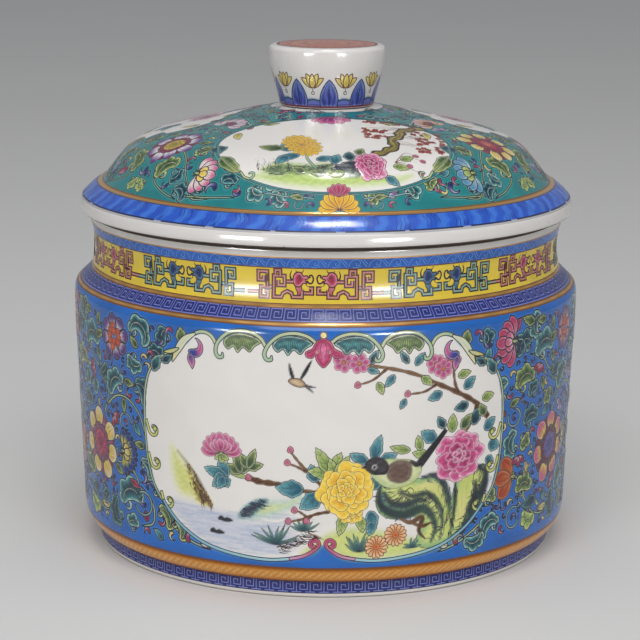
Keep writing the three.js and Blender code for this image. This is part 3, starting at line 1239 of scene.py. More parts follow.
@dataclass
class JarPainting:
    """The jar's outside, painted flat: x is the angle times 77 mm, y is the height over the table."""
    form: JarForm
    canvas: Canvas = field(init=False)
    reach: float = 270.0
    foot_fret: tuple[float, float] = (1.5, 5.2)
    rope: tuple[float, float] = (5.2, 10.3)
    ground: tuple[float, float] = (10.3, 81.45)
    shoulder_line: tuple[float, float] = (81.45, 82.45)
    shoulder_fret: tuple[float, float] = (82.45, 85.85)
    neck_line: tuple[float, float] = (85.85, 86.9)
    dragon_band: tuple[float, float] = (86.9, 97.05)
    scroll_band: tuple[float, float] = (97.05, 100.1)

    def __post_init__(self) -> None:
        """Make the bare canvas."""
        self.canvas = Canvas((-self.reach, 0.0), (self.reach, self.form.mouth + 0.3))

    def wrap(self) -> Wrap:
        """How the painting lies on the jar: the height is the profile's parameter."""
        points = self.form.outside()
        rising = np.maximum.accumulate(points[:, 1] + 1e-4 * np.arange(len(points)))
        return Wrap(Profile(points, rising), ARC)

    def ring(self, height: float, width: float, ink: Ink) -> None:
        """Draw a line right round the jar."""
        x = np.linspace(-ROUND / 2, ROUND / 2, 321)
        self.canvas.line(np.stack([x, np.full_like(x, height)], 1), width, ink)

    def flat_bands(self) -> None:
        """Paint the plain grounds of all bands, each with slow variation in tone."""
        grounds = ((self.foot_fret, TONE.fret, 0.06), (self.ground, TONE.ground, 0.07),
                   (self.shoulder_fret, TONE.fret, 0.05), (self.dragon_band, TONE.yellow, 0.04),
                   (self.scroll_band, TONE.neck_blue, 0.08))
        for band, colour, depth in grounds:
            rows, x, y = self.canvas.band(*band)
            turn = x / ARC
            tone = 1 + depth * wander(np.sin(turn * 3) * 4 + y * 0.12, np.cos(turn * 5) * 3 + y * 0.3,
                                      band[0])
            self.canvas.rgb[rows] = np.asarray(colour, np.float32) * tone[..., None]
            self.canvas.relief[rows] = 0.12
        for band in (self.shoulder_line, self.neck_line):
            rows, x, y = self.canvas.band(*band)
            rise = np.sin(np.pi * (y - band[0]) / (band[1] - band[0]))
            gold = mix(TONE.gold_deep, TONE.gold, rise)
            self.canvas.rgb[rows] = gold * (1 + 0.05 * np.sin(x * 0.7))[..., None]
            self.canvas.gilt[rows] = 0.5
            self.canvas.relief[rows] = 0.4 * rise
            for edge in band:
                self.ring(edge, 0.3, Ink.SEPIA)
        for height, width, ink in ((self.scroll_band[0], 0.3, Ink.SEPIA),
                                   (self.scroll_band[1], 0.35, Ink.GILT),
                                   (self.foot_fret[0], 0.3, Ink.NAVY)):
            self.ring(height, width, ink)

    def braid(self) -> None:
        """Paint the gilt braid: leaning pale wedges, from sines of x and height."""
        low, high = self.rope
        rows, x, y = self.canvas.band(low, high)
        v = (y - low) / (high - low)
        lean = x / ROUND * 210 + 0.5 * np.sin(2 * np.pi * v)
        wedge = smooth(np.sin(2 * np.pi * lean), 0.0, 0.9) * smooth(np.sin(np.pi * v), 0.6, 0.95)
        seam = smooth(np.abs(np.sin(np.pi * (lean - 0.25))), 0.0, 0.3)
        colour = mix((142, 78, 22), (224, 150, 60), smooth(np.sin(np.pi * v), 0.1, 0.8))
        self.canvas.rgb[rows] = mix(colour, TONE.gold_pale, wedge * 0.9) * (0.78 + 0.22 * seam)[..., None]
        self.canvas.gilt[rows] = 0.4
        self.canvas.relief[rows] = 0.5 * seam * np.sin(np.pi * v)
        for height in (low + 0.1, high):
            self.ring(height, 0.4, Ink.SEPIA)

    def fret(self, band: tuple[float, float], count: int, width: float) -> None:
        """Draw a key fret in a band: so many units round the jar, each a square spiral on a base line."""
        step, low, tall = ROUND / count, band[0] + 0.3, band[1] - band[0] - 0.6
        unit = np.array([(0, 0), (0, 1), (0.8, 1), (0.8, 0.25), (0.25, 0.25), (0.25, 0.74), (0.56, 0.74),
                         (0.56, 0.5)])
        for k in range(count):
            for shape in (unit, np.array([(0, 0), (1, 0)])):
                self.canvas.line(shape * (step, tall) + (k * step - ROUND / 2, low), width, Ink.PALE)

    def scrolls(self) -> None:
        """Draw the faint running scroll of the blue neck band: waves with a curl in each bay."""
        count = 78
        step = ROUND / count
        for k in range(count):
            pen = Pen(self.canvas, (k + 0.5) * step - ROUND / 2, sum(self.scroll_band) / 2)
            for path in ([(-2.7, -1.1), (-1.7, 0.7), (-0.2, 1.15), (0.9, 0.5), (0.6, -0.5), (-0.3, -0.5),
                          (-0.2, 0.2)],
                         [(0.9, 1.2), (1.8, 0.3), (3.0, -1.1)],
                         [(1.8, 1.2), (2.6, 0.4), (3.3, -0.3)], [(-1.4, -1.1), (-0.4, -1.2), (1.2, -0.9)]):
                pen.curve(path, 0.17, Ink.SKY, False)

    @staticmethod
    def dragon_place(number: int, step: float) -> float:
        """Middle of a unit of dragons: its even place less a shift that swells on the left of the front."""
        centre, shift, swell, back = (number * step + ROUND / 2) % ROUND - ROUND / 2, 3.3, 4.4, 242
        return centre - (shift + swell * math.sin(math.pi * min(max(-centre / back, 0), 1)))

    def dragons(self) -> None:
        """Draw the neck's confronted scroll dragons: twelve units, red and blue in turn."""
        count = 12
        step = ROUND / count
        bars = (
            [(4.7, 92.4), (4.7, 90.1), (4.0, 90.1), (4.0, 88.5), (6.8, 88.5), (7.1, 89.5), (8.5, 90.1),
             (9.8, 89.4), (10.2, 88.4), (12.6, 88.4), (12.6, 94.4), (9.3, 94.4), (9.3, 91.7), (11.2, 91.7),
             (11.2, 93.2)],
            [(6.6, 92.8), (9.3, 92.8)],
            [(12.6, 91.1), (16.7, 91.1), (16.7, 88.3), (14.4, 88.3), (14.4, 89.9), (15.6, 89.9)],
            [(14.6, 91.1), (14.6, 95.5), (17.4, 95.5), (17.4, 93.0), (15.8, 93.0), (15.8, 94.3)],
            [(16.7, 89.6), (step / 2 + 0.8, 89.6)],
            [(10.6, 94.4), (10.6, 96.0), (12.1, 96.0), (12.1, 94.8)],
            [(4.0, 89.6), (0.9, 89.6), (0.9, 91.0), (1.9, 91.0)])
        red = (Ink.MAROON, Ink.ROSE, Tint((170, 40, 80), (226, 140, 156)),
               Tint((228, 150, 160), (196, 96, 118)))
        blue = (Ink.INDIGO, Ink.ICE, Tint((24, 48, 104), (92, 130, 160)),
                Tint((124, 160, 176), (70, 110, 140)))
        for k in range(count):
            dark, pale, head, body = (red, blue)[k % 2]
            for flip in (False, True):
                pen = Pen(self.canvas, self.dragon_place(k, step)).at(0, 0.35, flip=flip)
                for bar in bars:
                    pen.line(bar, 1.3, dark)
                    pen.line(bar, 0.5, pale, lift=0.012)
                pen.stroke([(4.9, 93.0), (5.2, 91.6), (4.7, 90.2), (5.2, 88.8)], 0.85, body,
                           Brush(dark, 0.3), 1.0)
                pen.curve([(6.2, 93.0), (7.3, 93.6), (7.6, 94.8), (7.1, 96.0)], 0.75, dark)
                pen.curve([(2.6, 93.2), (1.7, 92.4), (0.9, 92.6), (0.55, 93.8), (1.0, 94.7), (1.7, 94.6),
                           (1.6, 93.9)], 0.5, dark, False)
                pen.blob([(6.7, 93.2), (6.5, 94.6), (5.6, 95.5), (4.4, 95.5), (3.5, 94.5), (2.5, 94.6),
                          (2.1, 93.8), (3.1, 93.4), (2.5, 92.5), (3.6, 92.4), (4.4, 91.5), (5.7, 91.4),
                          (6.5, 92.2)], head, 1.3, Brush(dark, 0.36))
                for path, wide in (([(4.2, 95.4), (3.6, 95.9), (3.5, 96.5)], 0.4),
                                   ([(5.6, 95.4), (5.9, 96.2)], 0.4),
                                   ([(3.0, 92.6), (2.4, 91.6), (1.5, 91.6)], 0.3),
                                   ([(3.6, 93.6), (4.4, 93.0), (5.6, 93.2)], 0.26)):
                    pen.curve(path, wide, dark)
                pen.line(arc(0.42, 0, 320, steps=9) + (4.7, 94.2), 0.26)

    def zone(self, centre: float, look: Bouquet) -> None:
        """Paint one zone of blooms and scrolling leaves between two panels, about a centre x."""
        pen = Pen(self.canvas, centre, 0, 1.8)
        for path in ([(2, 47), (5, 53), (3, 59), (-2, 62), (-6, 66), (-13, 68)],
                     [(-26, 50), (-30, 60), (-27, 68), (-21, 72)],
                     [(28, 24), (34, 18), (40, 15), (46, 13.6)],
                     [(-28, 22), (-34, 18), (-40, 15), (-46, 13.4)],
                     [(24, 60), (28, 66), (27, 72), (22, 76)],
                     [(4, 50), (10, 54), (16, 54), (21, 50), (23, 44)],
                     [(10, 36), (16, 33), (19, 29), (16, 26)],
                     [(-9, 34), (-14, 30), (-12, 24), (-8, 19), (-2, 16.6), (3, 17)],
                     [(-20, 33), (-15, 30), (-13, 27)], [(-23, 71), (-17, 72), (-13, 70)],
                     [(20, 28), (25, 24), (25, 18), (20, 16)]):
            pen.vine(path, 0.75, STEM)
        for x, y, turn, radius, sweep, width, tint, flip in (
                (20.4, 74.4, -50, 4.0, 230, 5.0, TEAL, False), (19.6, 67.6, 150, 2.9, 160, 5.0, TEAL, True),
                (14.6, 21.0, 20, 5.6, 160, 7.6, TEAL, False),
                (9.6, 17.6, 110, 4.2, 160, 6.2, DEEP_TEAL, False),
                (21.4, 34.0, -60, 3.4, 170, 3.8, TEAL, False),
                (28.0, 20.4, -50, 4.0, 150, 4.6, OLIVE, False),
                (-5.4, 66.4, 10, 5.0, 170, 7.0, TEAL, False),
                (1.0, 62.0, 200, 3.2, 140, 4.6, DEEP_TEAL, True),
                (-14.4, 69.8, 30, 3.6, 170, 6.2, DEEP_TEAL, True),
                (-8.6, 75.4, 80, 3.4, 180, 5.0, TEAL, False), (-17.4, 41.0, 90, 4.0, 170, 5.0, TEAL, False),
                (-11.0, 46.0, 20, 3.8, 150, 5.4, DEEP_TEAL, False),
                (-13.0, 25.4, 0, 3.4, 170, 6.0, OLIVE, False),
                (-8.6, 19.2, 150, 3.4, 160, 5.4, FRESH, True), (-26.0, 17.0, 40, 3.8, 190, 4.8, TEAL, True),
                (11.5, 56.0, 30, 4.6, 160, 6.2, TEAL, True), (-15.0, 58.0, 20, 4.4, 160, 6.2, OLIVE, False),
                (20.0, 57.0, -60, 4.0, 160, 5.6, DEEP_TEAL, False),
                (33.4, 18.2, -60, 3.8, 150, 4.4, OLIVE, False),
                (-33.0, 17.6, 200, 3.8, 150, 4.8, TEAL, False),
                (-24.0, 57.0, 70, 4.0, 160, 5.4, TEAL, False),
                (27.0, 68.0, -20, 3.4, 150, 4.6, DEEP_TEAL, False)):
            pen.at(x, y, turn, flip).frond(radius, sweep, width, tint)
        for x, y, turn, reach, width, tint in (
                (-11.0, 77.4, 80, 6.6, 3.4, OLIVE), (-4.6, 77.4, 96, 5.4, 3.0, OLIVE),
                (-5.0, 22.6, 110, 8.0, 4.0, DEEP_TEAL), (-20.8, 75.6, -28, 5.0, 3.0, CRIMSON),
                (2.6, 18.4, 100, 6.4, 2.4, GOLD_BUD), (22.4, 17.8, 20, 3.4, 2.6, CRIMSON),
                (-1.6, 70.0, -60, 5.6, 3.0, OLIVE), (-12.6, 35.2, -150, 5.0, 2.0, GOLD_BUD),
                (15.0, 29.0, -100, 5.0, 2.4, CRIMSON)):
            pen.at(x, y, turn).leaf(reach, width, tint, 0.16, 2)
        for x, y, radius, start, head in ((21.0, 23.4, 4.0, 200, NAVY_BUD),
                                          (-18.6, 70.6, 2.9, -40, NAVY_BUD),
                                          (9.9, 35.6, 2.3, 100, ROSE_BUD), (-17.0, 18.6, 3.5, 60, NAVY_BUD),
                                          (14.0, 46.6, 3.0, 0, ROSE_BUD),
                                          (-19.0, 50.0, 3.0, 160, NAVY_BUD)):
            pen.vine(arc(radius, start, 300, radius * 0.8, 9) + (x, y), 0.7, ICE_STEM)
            pen.at(x, y, start).comma(radius * 0.42, head)
        blush = Tint((250, 240, 214), (196, 136, 180))
        for side in (-1, 1):
            pen.at(42.6 * side, 14.8, -80 * side).leaf(5.0, 2.2, blush, 0.2, 0)
            pen.at(39.2 * side, 15.8, 100).comma(2.0, ROSE_BUD)
        rosette(pen.at(9.8, 71.8), 7.0,
                Tint((236, 228, 236), (92, 54, 126), (190, 170, 212), 0.3, 0.18, (0.3, 0.8)),
                Tint((222, 108, 52), (156, 36, 40), (236, 170, 100), 0.25))
        fan_bloom(pen.at(-20.4, 73.0, 88), 8.0,
                  Tint((236, 150, 178), (190, 58, 104), (240, 190, 208), 0.35, 0.16),
                  Tint((246, 206, 216), (204, 84, 128), (246, 214, 224), 0.3, 0.14), 150)
        pen.at(-18.4, 31.6, 86).petals(3, 0.2, 8.2, 5.2, ORANGE, BROWN, sweep=96, point=0.3)
        pen.at(-17.6, 31.6, 86).petals(3, -1.2, 1.6, 1.4, OLIVE, sweep=110, veins=False)
        lotus(pen.at(look.shift, 37.0), 11.6, look)
        fan_bloom(pen.at(12.2 + look.shift * 0.2, 37.4, -88), 7.0, look.fan, GOLD_BUD, 156, True)

        def bare_ground(x: Array, y: Array) -> Array:
            """Whether a point lies between the two panels."""
            reach = 27 + 22 * smooth(30 - y, 0, 16) + 6 * smooth(y, 60, 78)
            clear = (y > 24) | (y < 24 - (np.abs(x) - 27) * 0.42)
            return (np.abs(x) < reach) & (y > 14.6) & (y < 77) & clear

        pen.scatter((-48, 48), (12, 80.2), bare_ground, look.seed)

    def frame(self, pen: Pen) -> None:
        """Paint a panel's white field, with a pen at the panel's middle and y as the height."""
        outline = pen.place(mirrored([
            (0, 76.5), (2, 77), (5, 78.8), (8, 79.2), (12, 78.6), (15, 76), (16.1, 74.6), (17.6, 77.6),
            (20, 79), (23.5, 79.2), (27, 78.2), (29.8, 75.6), (30.8, 74.6), (32.4, 77.4), (34.8, 78.1),
            (37.6, 77), (40, 74.5), (43.5, 71.8), (48, 69.9), (51.5, 67.4), (54.3, 63.4), (55.8, 58),
            (56.4, 51), (56.4, 44), (55.7, 37.4), (53.7, 30.5), (49.9, 25), (46, 21), (41.2, 17.3),
            (36, 15.3), (29.9, 13.7), (23, 12.8), (16.5, 12.4), (10, 13.0), (6.5, 13.8), (3.8, 15.0),
            (1.8, 16.8), (0, 17.8)]))

        def field_paint(x: Array, y: Array, depth: Array) -> Array:
            """Warm white, a little greyer in slow patches, at any depth."""
            return np.asarray(TONE.field, np.float32) * (1 + 0.008 * wander(x * 0.3, y * 0.3, 2))[..., None]

        glow = outline + np.clip((outline - outline.mean(0)) * 0.015, -1.6, 1.6)
        pen.canvas.fill(glow, TONE.halo, Brush(None, relief=0.12, soft=1.0, alpha=0.55))
        pen.canvas.fill(outline, field_paint, Brush(None, relief=0.08))

    def border(self, pen: Pen) -> None:
        """Paint a panel's border over its picture: both halves, then the bell, with a pen at its middle."""
        pen = pen.at(0, 0)
        pen.fine = 1.35
        sage = Tint((200, 210, 168), (168, 196, 160), strokes=0.0)
        lime = Tint((214, 216, 122), (190, 198, 110), strokes=0.0)
        for flip in (False, True):
            p = pen.at(0, 0, flip=flip)
            for tint, x0 in ((TEAL, 0.0), (OLIVE, 14.4)):
                edge = np.array([(3.0, 76.8), (5.6, 78.3), (9.4, 78.9), (12.8, 77.9), (14.2, 75.8),
                                 (12.8, 74.0), (11.2, 74.9), (9.9, 73.2), (8.3, 74.8), (6.4, 73.6),
                                 (4.9, 75.3)]) + (x0, 0.1)
                p.blob(edge, replace(tint, root=tint.tip, tip=tint.root), 1.9)
                low = np.vstack([edge[4:], edge[:1]])
                share = np.linspace(0, len(low) - 1, 17)
                foot = np.stack([np.interp(share, np.arange(len(low)), low[:, i]) for i in (0, 1)], 1)
                for end in foot:
                    top = (9.5 + x0) * 0.45 + end[0] * 0.55
                    p.line([(top, 78.5 - 0.012 * (end[0] - 9.5 - x0) ** 2),
                            ((top + end[0]) / 2 + 0.06 * (end[0] - 9.5 - x0), end[1] / 2 + 39.4),
                            end + (0, 0.45)], 0.11)
            p.vine([(42.5, 71.8), (47, 70.6), (51.5, 67.8), (54.6, 63.8), (56.4, 58), (57, 50), (56.8, 43),
                    (56.2, 37), (54.3, 30.5), (50.5, 25.2), (49.2, 24)], 0.75, sage)
            for x, y in ((53.4, 46.9), (53.0, 37.0), (48.4, 26.0)):
                p.vine(np.vstack([[(x + 2.9, y + 2.6)], arc(2.1, 0, -330, 0.7, 9) + (x, y)]), 0.95, lime)
                p.dot(x - 0.5, y + 0.3, 0.8, lime)
            p.at(52.8, 64.5, 20).leaf(6.2, 3.6, TEAL, -0.2)
            p.at(49.4, 68.0, 70).leaf(4.6, 2.6, DEEP_TEAL, 0.2)
            p.blade(through([(50.6, 26.0), (48.4, 23.4), (44.6, 19.9), (39, 16.6), (33, 14.5), (25, 13.1),
                             (16.5, 12.5), (10.6, 13.0), (6.8, 13.8)]), 0.5, 0.5,
                    Tint((130, 184, 200), (162, 206, 210), strokes=0.0), DEEP)
            cusp = through([(9.6, 13.2), (6.2, 13.9), (3.6, 15.1), (1.7, 16.7), (1.0, 17.7), (1.3, 18.6),
                            (2.3, 19.0), (3.3, 18.4), (3.4, 17.4), (2.6, 17.0), (2.2, 17.5)])
            half = np.linspace(0.45, 0.66, len(cusp))
            blush = Tint((196, 170, 206), (186, 44, 96), (236, 160, 190), 0.3, 0.1, (0.0, 0.35))
            p.blade(cusp, half, half, blush, ROSY)
            for path in ([(30.6, 74.8), (32.2, 77.4), (34.8, 78.4), (37.6, 77.6), (40.2, 75.4)],
                         [(16.0, 75.4), (17.6, 77.9), (20.4, 79.4), (23.8, 79.7), (27.4, 78.7), (30.2, 76),
                          (31, 73.4), (30.3, 71.7), (29, 71.8), (28.9, 73)],
                         [(1.8, 76.9), (4.4, 78.9), (8, 79.7), (12, 79), (15, 76.6), (16.5, 73.8), (16, 72),
                          (14.7, 71.9), (14.5, 73.1)]):
                p.vine(path, 1.05, sage)
            p.at(42.2, 74.0, 4).leaf(5.0, 3.8, OLIVE, 0.15, 2)
            p.stroke([(37.4, 77.6), (40.8, 75.4), (43.4, 72.0), (45.4, 68.4)], 1.3,
                     Tint((222, 226, 196), (236, 222, 110), (244, 240, 210), 0.4, 0.08, (0.55, 1.0)), FINE,
                     0.8)
            p.stroke([(43.0, 72.6), (45.6, 71.4), (48.6, 70.8)], 0.8,
                     Tint((206, 214, 170), (226, 218, 120)), FINE)
            curl = Tint((214, 96, 150), (48, 66, 156), (200, 200, 232), 0.3, 0.12, (0.4, 0.75))
            tongue = Tint((110, 84, 164), (222, 120, 166), (244, 206, 220), 0.3)
            p.at(38.0, 73.4, 190).comma(2.9, curl, 230, 0.6)
            p.at(39.6, 71.6, 150).leaf(4.4, 2.4, tongue, -0.3, 1)
            for x, y, turn, size, bud in ((46.2, 77.0, 30, 1.5, ROSE_BUD), (50.2, 73.8, 200, 1.6, NAVY_BUD),
                                          (53.6, 69.2, 60, 1.4, ROSE_BUD)):
                p.at(x, y, turn).comma(size, bud)
        pen.blob(mirrored([(0, 78.5), (1.6, 77.8), (2.6, 76.4), (3.2, 75.4), (5.0, 74.4), (4.7, 73.0),
                           (3.2, 72.7), (2.3, 73.5), (1.9, 72.0), (0, 70.0)]),
                 Tint((224, 120, 160), (160, 30, 78), (236, 170, 192), 0.25, 0.12), 2.2, ROSY)
        for x in (-1.8, 1.8):
            pen.dot(x, 74.5, 0.5, Tint((176, 36, 84), (250, 236, 210)), THIN)
            pen.curve([(x * 0.1, 77.4), (x * 0.5, 75.8), (x * 0.35, 73.6), (x * 0.2, 72.0)], 0.16, Ink.RED)
        pen.dot(0, 79.3, 1.0, Tint((240, 206, 120), (250, 236, 200)), BROWN)

    def picture(self, pen: Pen, look: int) -> None:
        """Paint a flower-and-bird picture: a far shore, a branch of blooms, a bird and a garden rock.

        Args:
            pen: pen at the panel's middle, with y as the height.
            look: 0 for the front; others change the colours of the blooms.
        """
        warm = Tint((206, 84, 48), (240, 150, 90), (250, 214, 170))
        plum = Tint((140, 80, 160), (200, 164, 218))
        pinks = (PINK, warm, YELLOW)[look]
        golds = (Tint((242, 184, 44), (250, 214, 82), (252, 230, 140), 0.4, 0.06), PINK, plum)[look]
        draw = np.random.default_rng(11 + look)
        wash = Tint((176, 190, 220), (192, 202, 224), strokes=0.1)
        pen.blob([(-47, 27), (-36, 26.6), (-24, 25), (-12, 22), (-6, 18), (-12, 14.6), (-26, 14), (-38, 17),
                  (-45, 22)], Tint((206, 210, 224), (216, 216, 222), strokes=0.02), 3, WASH)
        for _ in range(210):
            x, y = draw.uniform(-47, -6), draw.uniform(13.6, 26.6)
            if abs(x + 25) < 24 - (26 - y) * 0.9:
                reach = draw.uniform(1.5, 4.5)
                pen.blade(np.stack([np.linspace(x - reach, x + reach, 6), y + draw.uniform(-.1, .1, 6)], 1),
                          0.16, 0.16, wash, Brush(None, relief=0.0, soft=0.15, alpha=0.4))
        pen.blob([(-46.4, 43.4), (-43, 39.4), (-39.5, 36), (-36.5, 31.5), (-33.4, 27.6), (-37, 27.6),
                  (-41, 28.6), (-44.4, 29.6), (-46.4, 34), (-47, 39)],
                 Tint((212, 216, 110), (224, 226, 150), strokes=0.05), 3, WASH)
        ridge = [(-44.6, 42), (-41, 38.4), (-37.4, 34), (-33.2, 27.4)]
        pen.blob([(-42, 38.6), (-38.4, 34.4), (-33, 27.2), (-37.6, 27.4), (-39.2, 30.6)],
                 Tint((120, 98, 40), (196, 182, 96), strokes=0.4), 2, SHADE)
        pen.stroke(ridge, 0.4, Tint((176, 164, 90), (84, 58, 32), strokes=0.4), SHADE, 0.6)
        pen.hatch(ridge[1:], 0.6, 2.4, -24, 70, draw, 0.2, (Ink.SEPIA, Ink.SEPIA, Ink.DARK))
        pen.hatch([(-39.4, 34), (-37, 31), (-35.6, 28.6)], 1.4, 2.8, -16, 60, draw, 0.22,
                  (Ink.SEPIA, Ink.DARK))
        pen.blob([(-24.5, 24.8), (-21, 28.2), (-16, 30.2), (-11, 30.6), (-7, 32.4), (-6, 30.6), (-11, 27.4),
                  (-17, 25.2)], Tint((210, 222, 150), (178, 208, 190), strokes=0.06), 2.4, WASH)
        pen.blob([(-25, 24.6), (-22.6, 28.4), (-18.6, 30.6), (-15.6, 30.4), (-18.6, 26.8), (-21, 24.8)],
                 Tint((58, 84, 92), (112, 156, 158), strokes=0.4), 1.6, SHADE)
        pen.hatch([(-24, 25.2), (-21.6, 28), (-18, 29.8)], 1.0, 3.0, -38, 90, draw, 0.22,
                  (Ink.DARK, Ink.DARK, Ink.NAVY))
        for x, y in ((-28.9, 23.6), (-31.6, 19.6)):
            pen.blob([(x - 2.4, y - 0.4), (x - 1.4, y + 0.9), (x - 0.2, y + 0.2), (x + 0.6, y + 0.6),
                      (x + 2.4, y - 0.3), (x + 0.6, y - 0.8)], SOOT, 1, BARE)
        pen.blob([(-6, 15), (-2, 18.4), (3, 21.4), (9, 22.6), (16, 21.6), (24, 19), (34, 16.8), (43, 17.4),
                  (36, 14.9), (28, 13.6), (18, 13.1), (8, 13.3), (3.6, 15.4), (1, 18.6), (-2.5, 15.2)],
                 Tint((206, 216, 110), (196, 212, 116), strokes=0.05), 2.5, WASH)
        pen.hatch([(-13, 16), (-8, 18.6), (-3, 21)], 1.3, 3.4, -26, 60, draw, 0.3,
                  (Ink.DARK, Ink.DARK, Ink.SEPIA))
        self.rock(pen, draw)
        grass = Tint((58, 116, 122), (132, 178, 160), strokes=0.1)
        for x, y, reach, count in ((-13.5, 17.2, 7.6, 10), (-5.6, 21.6, 5.4, 7), (10.6, 15.4, 6.2, 9),
                                   (26.6, 15.6, 3.6, 6)):
            for angle in np.linspace(-74, 74, count):
                pen.at(x, y, angle).leaf(reach * draw.uniform(0.7, 1.05), 0.75, grass,
                                         draw.uniform(-.35, .35), 0, Brush(Ink.DARK, 0.12))
        self.branches(pen)
        self.foliage(pen)
        amber = Tint((232, 128, 56), (250, 216, 170), (240, 186, 130), 0.3, 0.1)
        for x, y in ((15.8, 16.7), (21.5, 19.9)):
            pen.at(x, y).petals(15, 0.6, 3.5, 1.3, amber, ROSY, veins=False)
            pen.dot(x, y, 0.85, Tint((190, 50, 36), (230, 140, 50)), THIN)
        bloom = pen.at(-29.8, 43.0, 4)
        for count, reach, width, sweep, tint in ((9, 6.6, 3.2, 160, pinks),
                                                 (5, 4.8, 2.8, 90, replace(pinks, tip=(240, 150, 190)))):
            bloom.petals(count, 0.2, reach, width, tint, THIN, sweep=sweep)
        bloom.petals(3, -2.4, 0.6, 1.7, FRESH, sweep=110, veins=False)
        for angle in (-60, 0, 60):
            bloom.at(0, -0.3, 180 + angle).leaf(2.6, 2.0, FRESH, 0, 1)
        rose = Brush(Ink.SEPIA, 0.13)
        pen.at(8.2, 27.2).ruffle(3.6, (golds,), 9, rose, 2)
        pen.at(6.7, 34.0).ruffle(8.4, (golds, replace(golds, root=(236, 164, 34)), golds), 4 + look, rose)
        deeper = (replace(pinks, rim_width=0.6), replace(pinks, tip=(214, 92, 146)),
                  replace(pinks, root=(150, 24, 84), tip=(206, 84, 140)))
        pen.at(41.2, 41.6, squeeze=1.16).ruffle(7.8, deeper, 6 + look)
        for x, y, turn in ((5.6, 71.6, 10), (10.0, 71.2, -20), (32.4, 69.8, 20), (37.6, 70.4, -30),
                           (34.8, 68.2, 0)):
            pen.at(x, y, turn).petals(6, 0.3, 3.1, 2.3, pinks, THIN, veins=False)
            pen.dot(x, y, 0.6, Tint((226, 180, 60), (180, 60, 60)), THIN)
        self.bird(pen)
        self.swallow(pen.at(-7.2, 65.6))

    def rock(self, pen: Pen, draw: np.random.Generator) -> None:
        """Paint the garden rock: a pale mass, washes on its lit and shaded sides, and brush strokes.

        Args:
            pen: pen at the panel's middle.
            draw: source of the strokes' differences.
        """
        mass = [(15.5, 29), (16, 34), (19, 37.6), (24, 38.4), (27.6, 36.4), (32, 36.4), (36, 34),
                (37.4, 29.6), (38.4, 27), (39.6, 31), (41, 35.6), (44, 38.4), (47.4, 37.6), (50.8, 37.6),
                (52.2, 34), (51, 29.6), (48.6, 25), (45.4, 20.6), (41, 17.4), (36, 15.4), (30, 15.2),
                (28, 18.4), (29.6, 22.6), (27, 25), (22.4, 24.6), (18, 25.6)]
        pen.blob(mass, Tint((212, 220, 132), (150, 188, 130), strokes=0.06), 3, Brush(Ink.DARK, 0.16, 0.2))
        for path, wide in (([(27, 33.6), (32, 34), (35.6, 31), (37.6, 26), (38, 19)], 1.6),
                           ([(42.6, 21), (43, 27), (43.6, 32), (46.6, 35.6)], 2.0),
                           ([(19, 34.4), (22.6, 35.6), (26.6, 34.6)], 1.3)):
            pen.stroke(path, wide, Tint((236, 230, 150), (204, 216, 112), strokes=0.08), SHADE, 1)
        pen.stroke([(18, 33), (17.4, 29.6), (20.6, 27.6), (26, 27.4), (30.6, 28)], 1.7,
                   Tint((92, 150, 148), (150, 186, 130)), SHADE, 1)
        for path, wide, lean in (
                ([(16.6, 35.6), (16.4, 30), (19.4, 26.8), (24.4, 25.6), (29, 27), (32, 25.4), (34, 21),
                  (32.6, 16.6)], 2.0, 80),
                ([(17.6, 33), (20, 29.6), (24.4, 28.6), (28.6, 29.8), (31.6, 29)], 1.5, 60),
                ([(29, 36.4), (33.6, 36.6), (36.8, 32.8), (38.2, 28.2), (38.6, 23)], 1.3, -24),
                ([(22, 33), (26, 31.2), (31, 31.4), (34.6, 28), (36.2, 23.4), (35.6, 17)], 1.0, -20),
                ([(51.2, 36.8), (51, 32), (48.4, 27), (46, 22), (41.6, 18)], 2.3, -30),
                ([(47.6, 33.4), (47.4, 29), (45.6, 25), (43.6, 21)], 1.4, 24),
                ([(40.2, 33.6), (40.4, 29), (39.8, 23), (39, 18)], 0.7, 0),
                ([(44, 37.6), (47.6, 37.4), (50.4, 37.2)], 0.8, -30)):
            pen.stroke(path, wide * 0.8, Tint((16, 30, 40), (34, 70, 74), strokes=0.4), SHADE, 0.8)
            pen.hatch(path, wide * 1.1, 2.6, lean, int(34 * wide + 16), draw, 0.26,
                      (Ink.DARK, Ink.DARK, Ink.NAVY))
        for path in ([(22.4, 31.6), (23.6, 33), (25.4, 32.4), (24.6, 31.4)],
                     [(24, 32.6), (25.6, 33.8), (26.8, 32.6), (26, 31.8)],
                     [(26.8, 29.8), (29.6, 29.2), (31.6, 31.4), (30, 33.4)],
                     [(47, 36), (46.6, 33), (48, 30)]):
            pen.curve(path, 0.32)
        pen.stroke([(22.8, 24.6), (26, 23.2), (29.6, 24.4), (28.6, 20.6), (30.8, 17.8)], 0.8, TWIG, BROWN)
        pen.stroke([(26, 23.2), (29.8, 21.8), (32.6, 22.6)], 0.6, TWIG, BROWN)

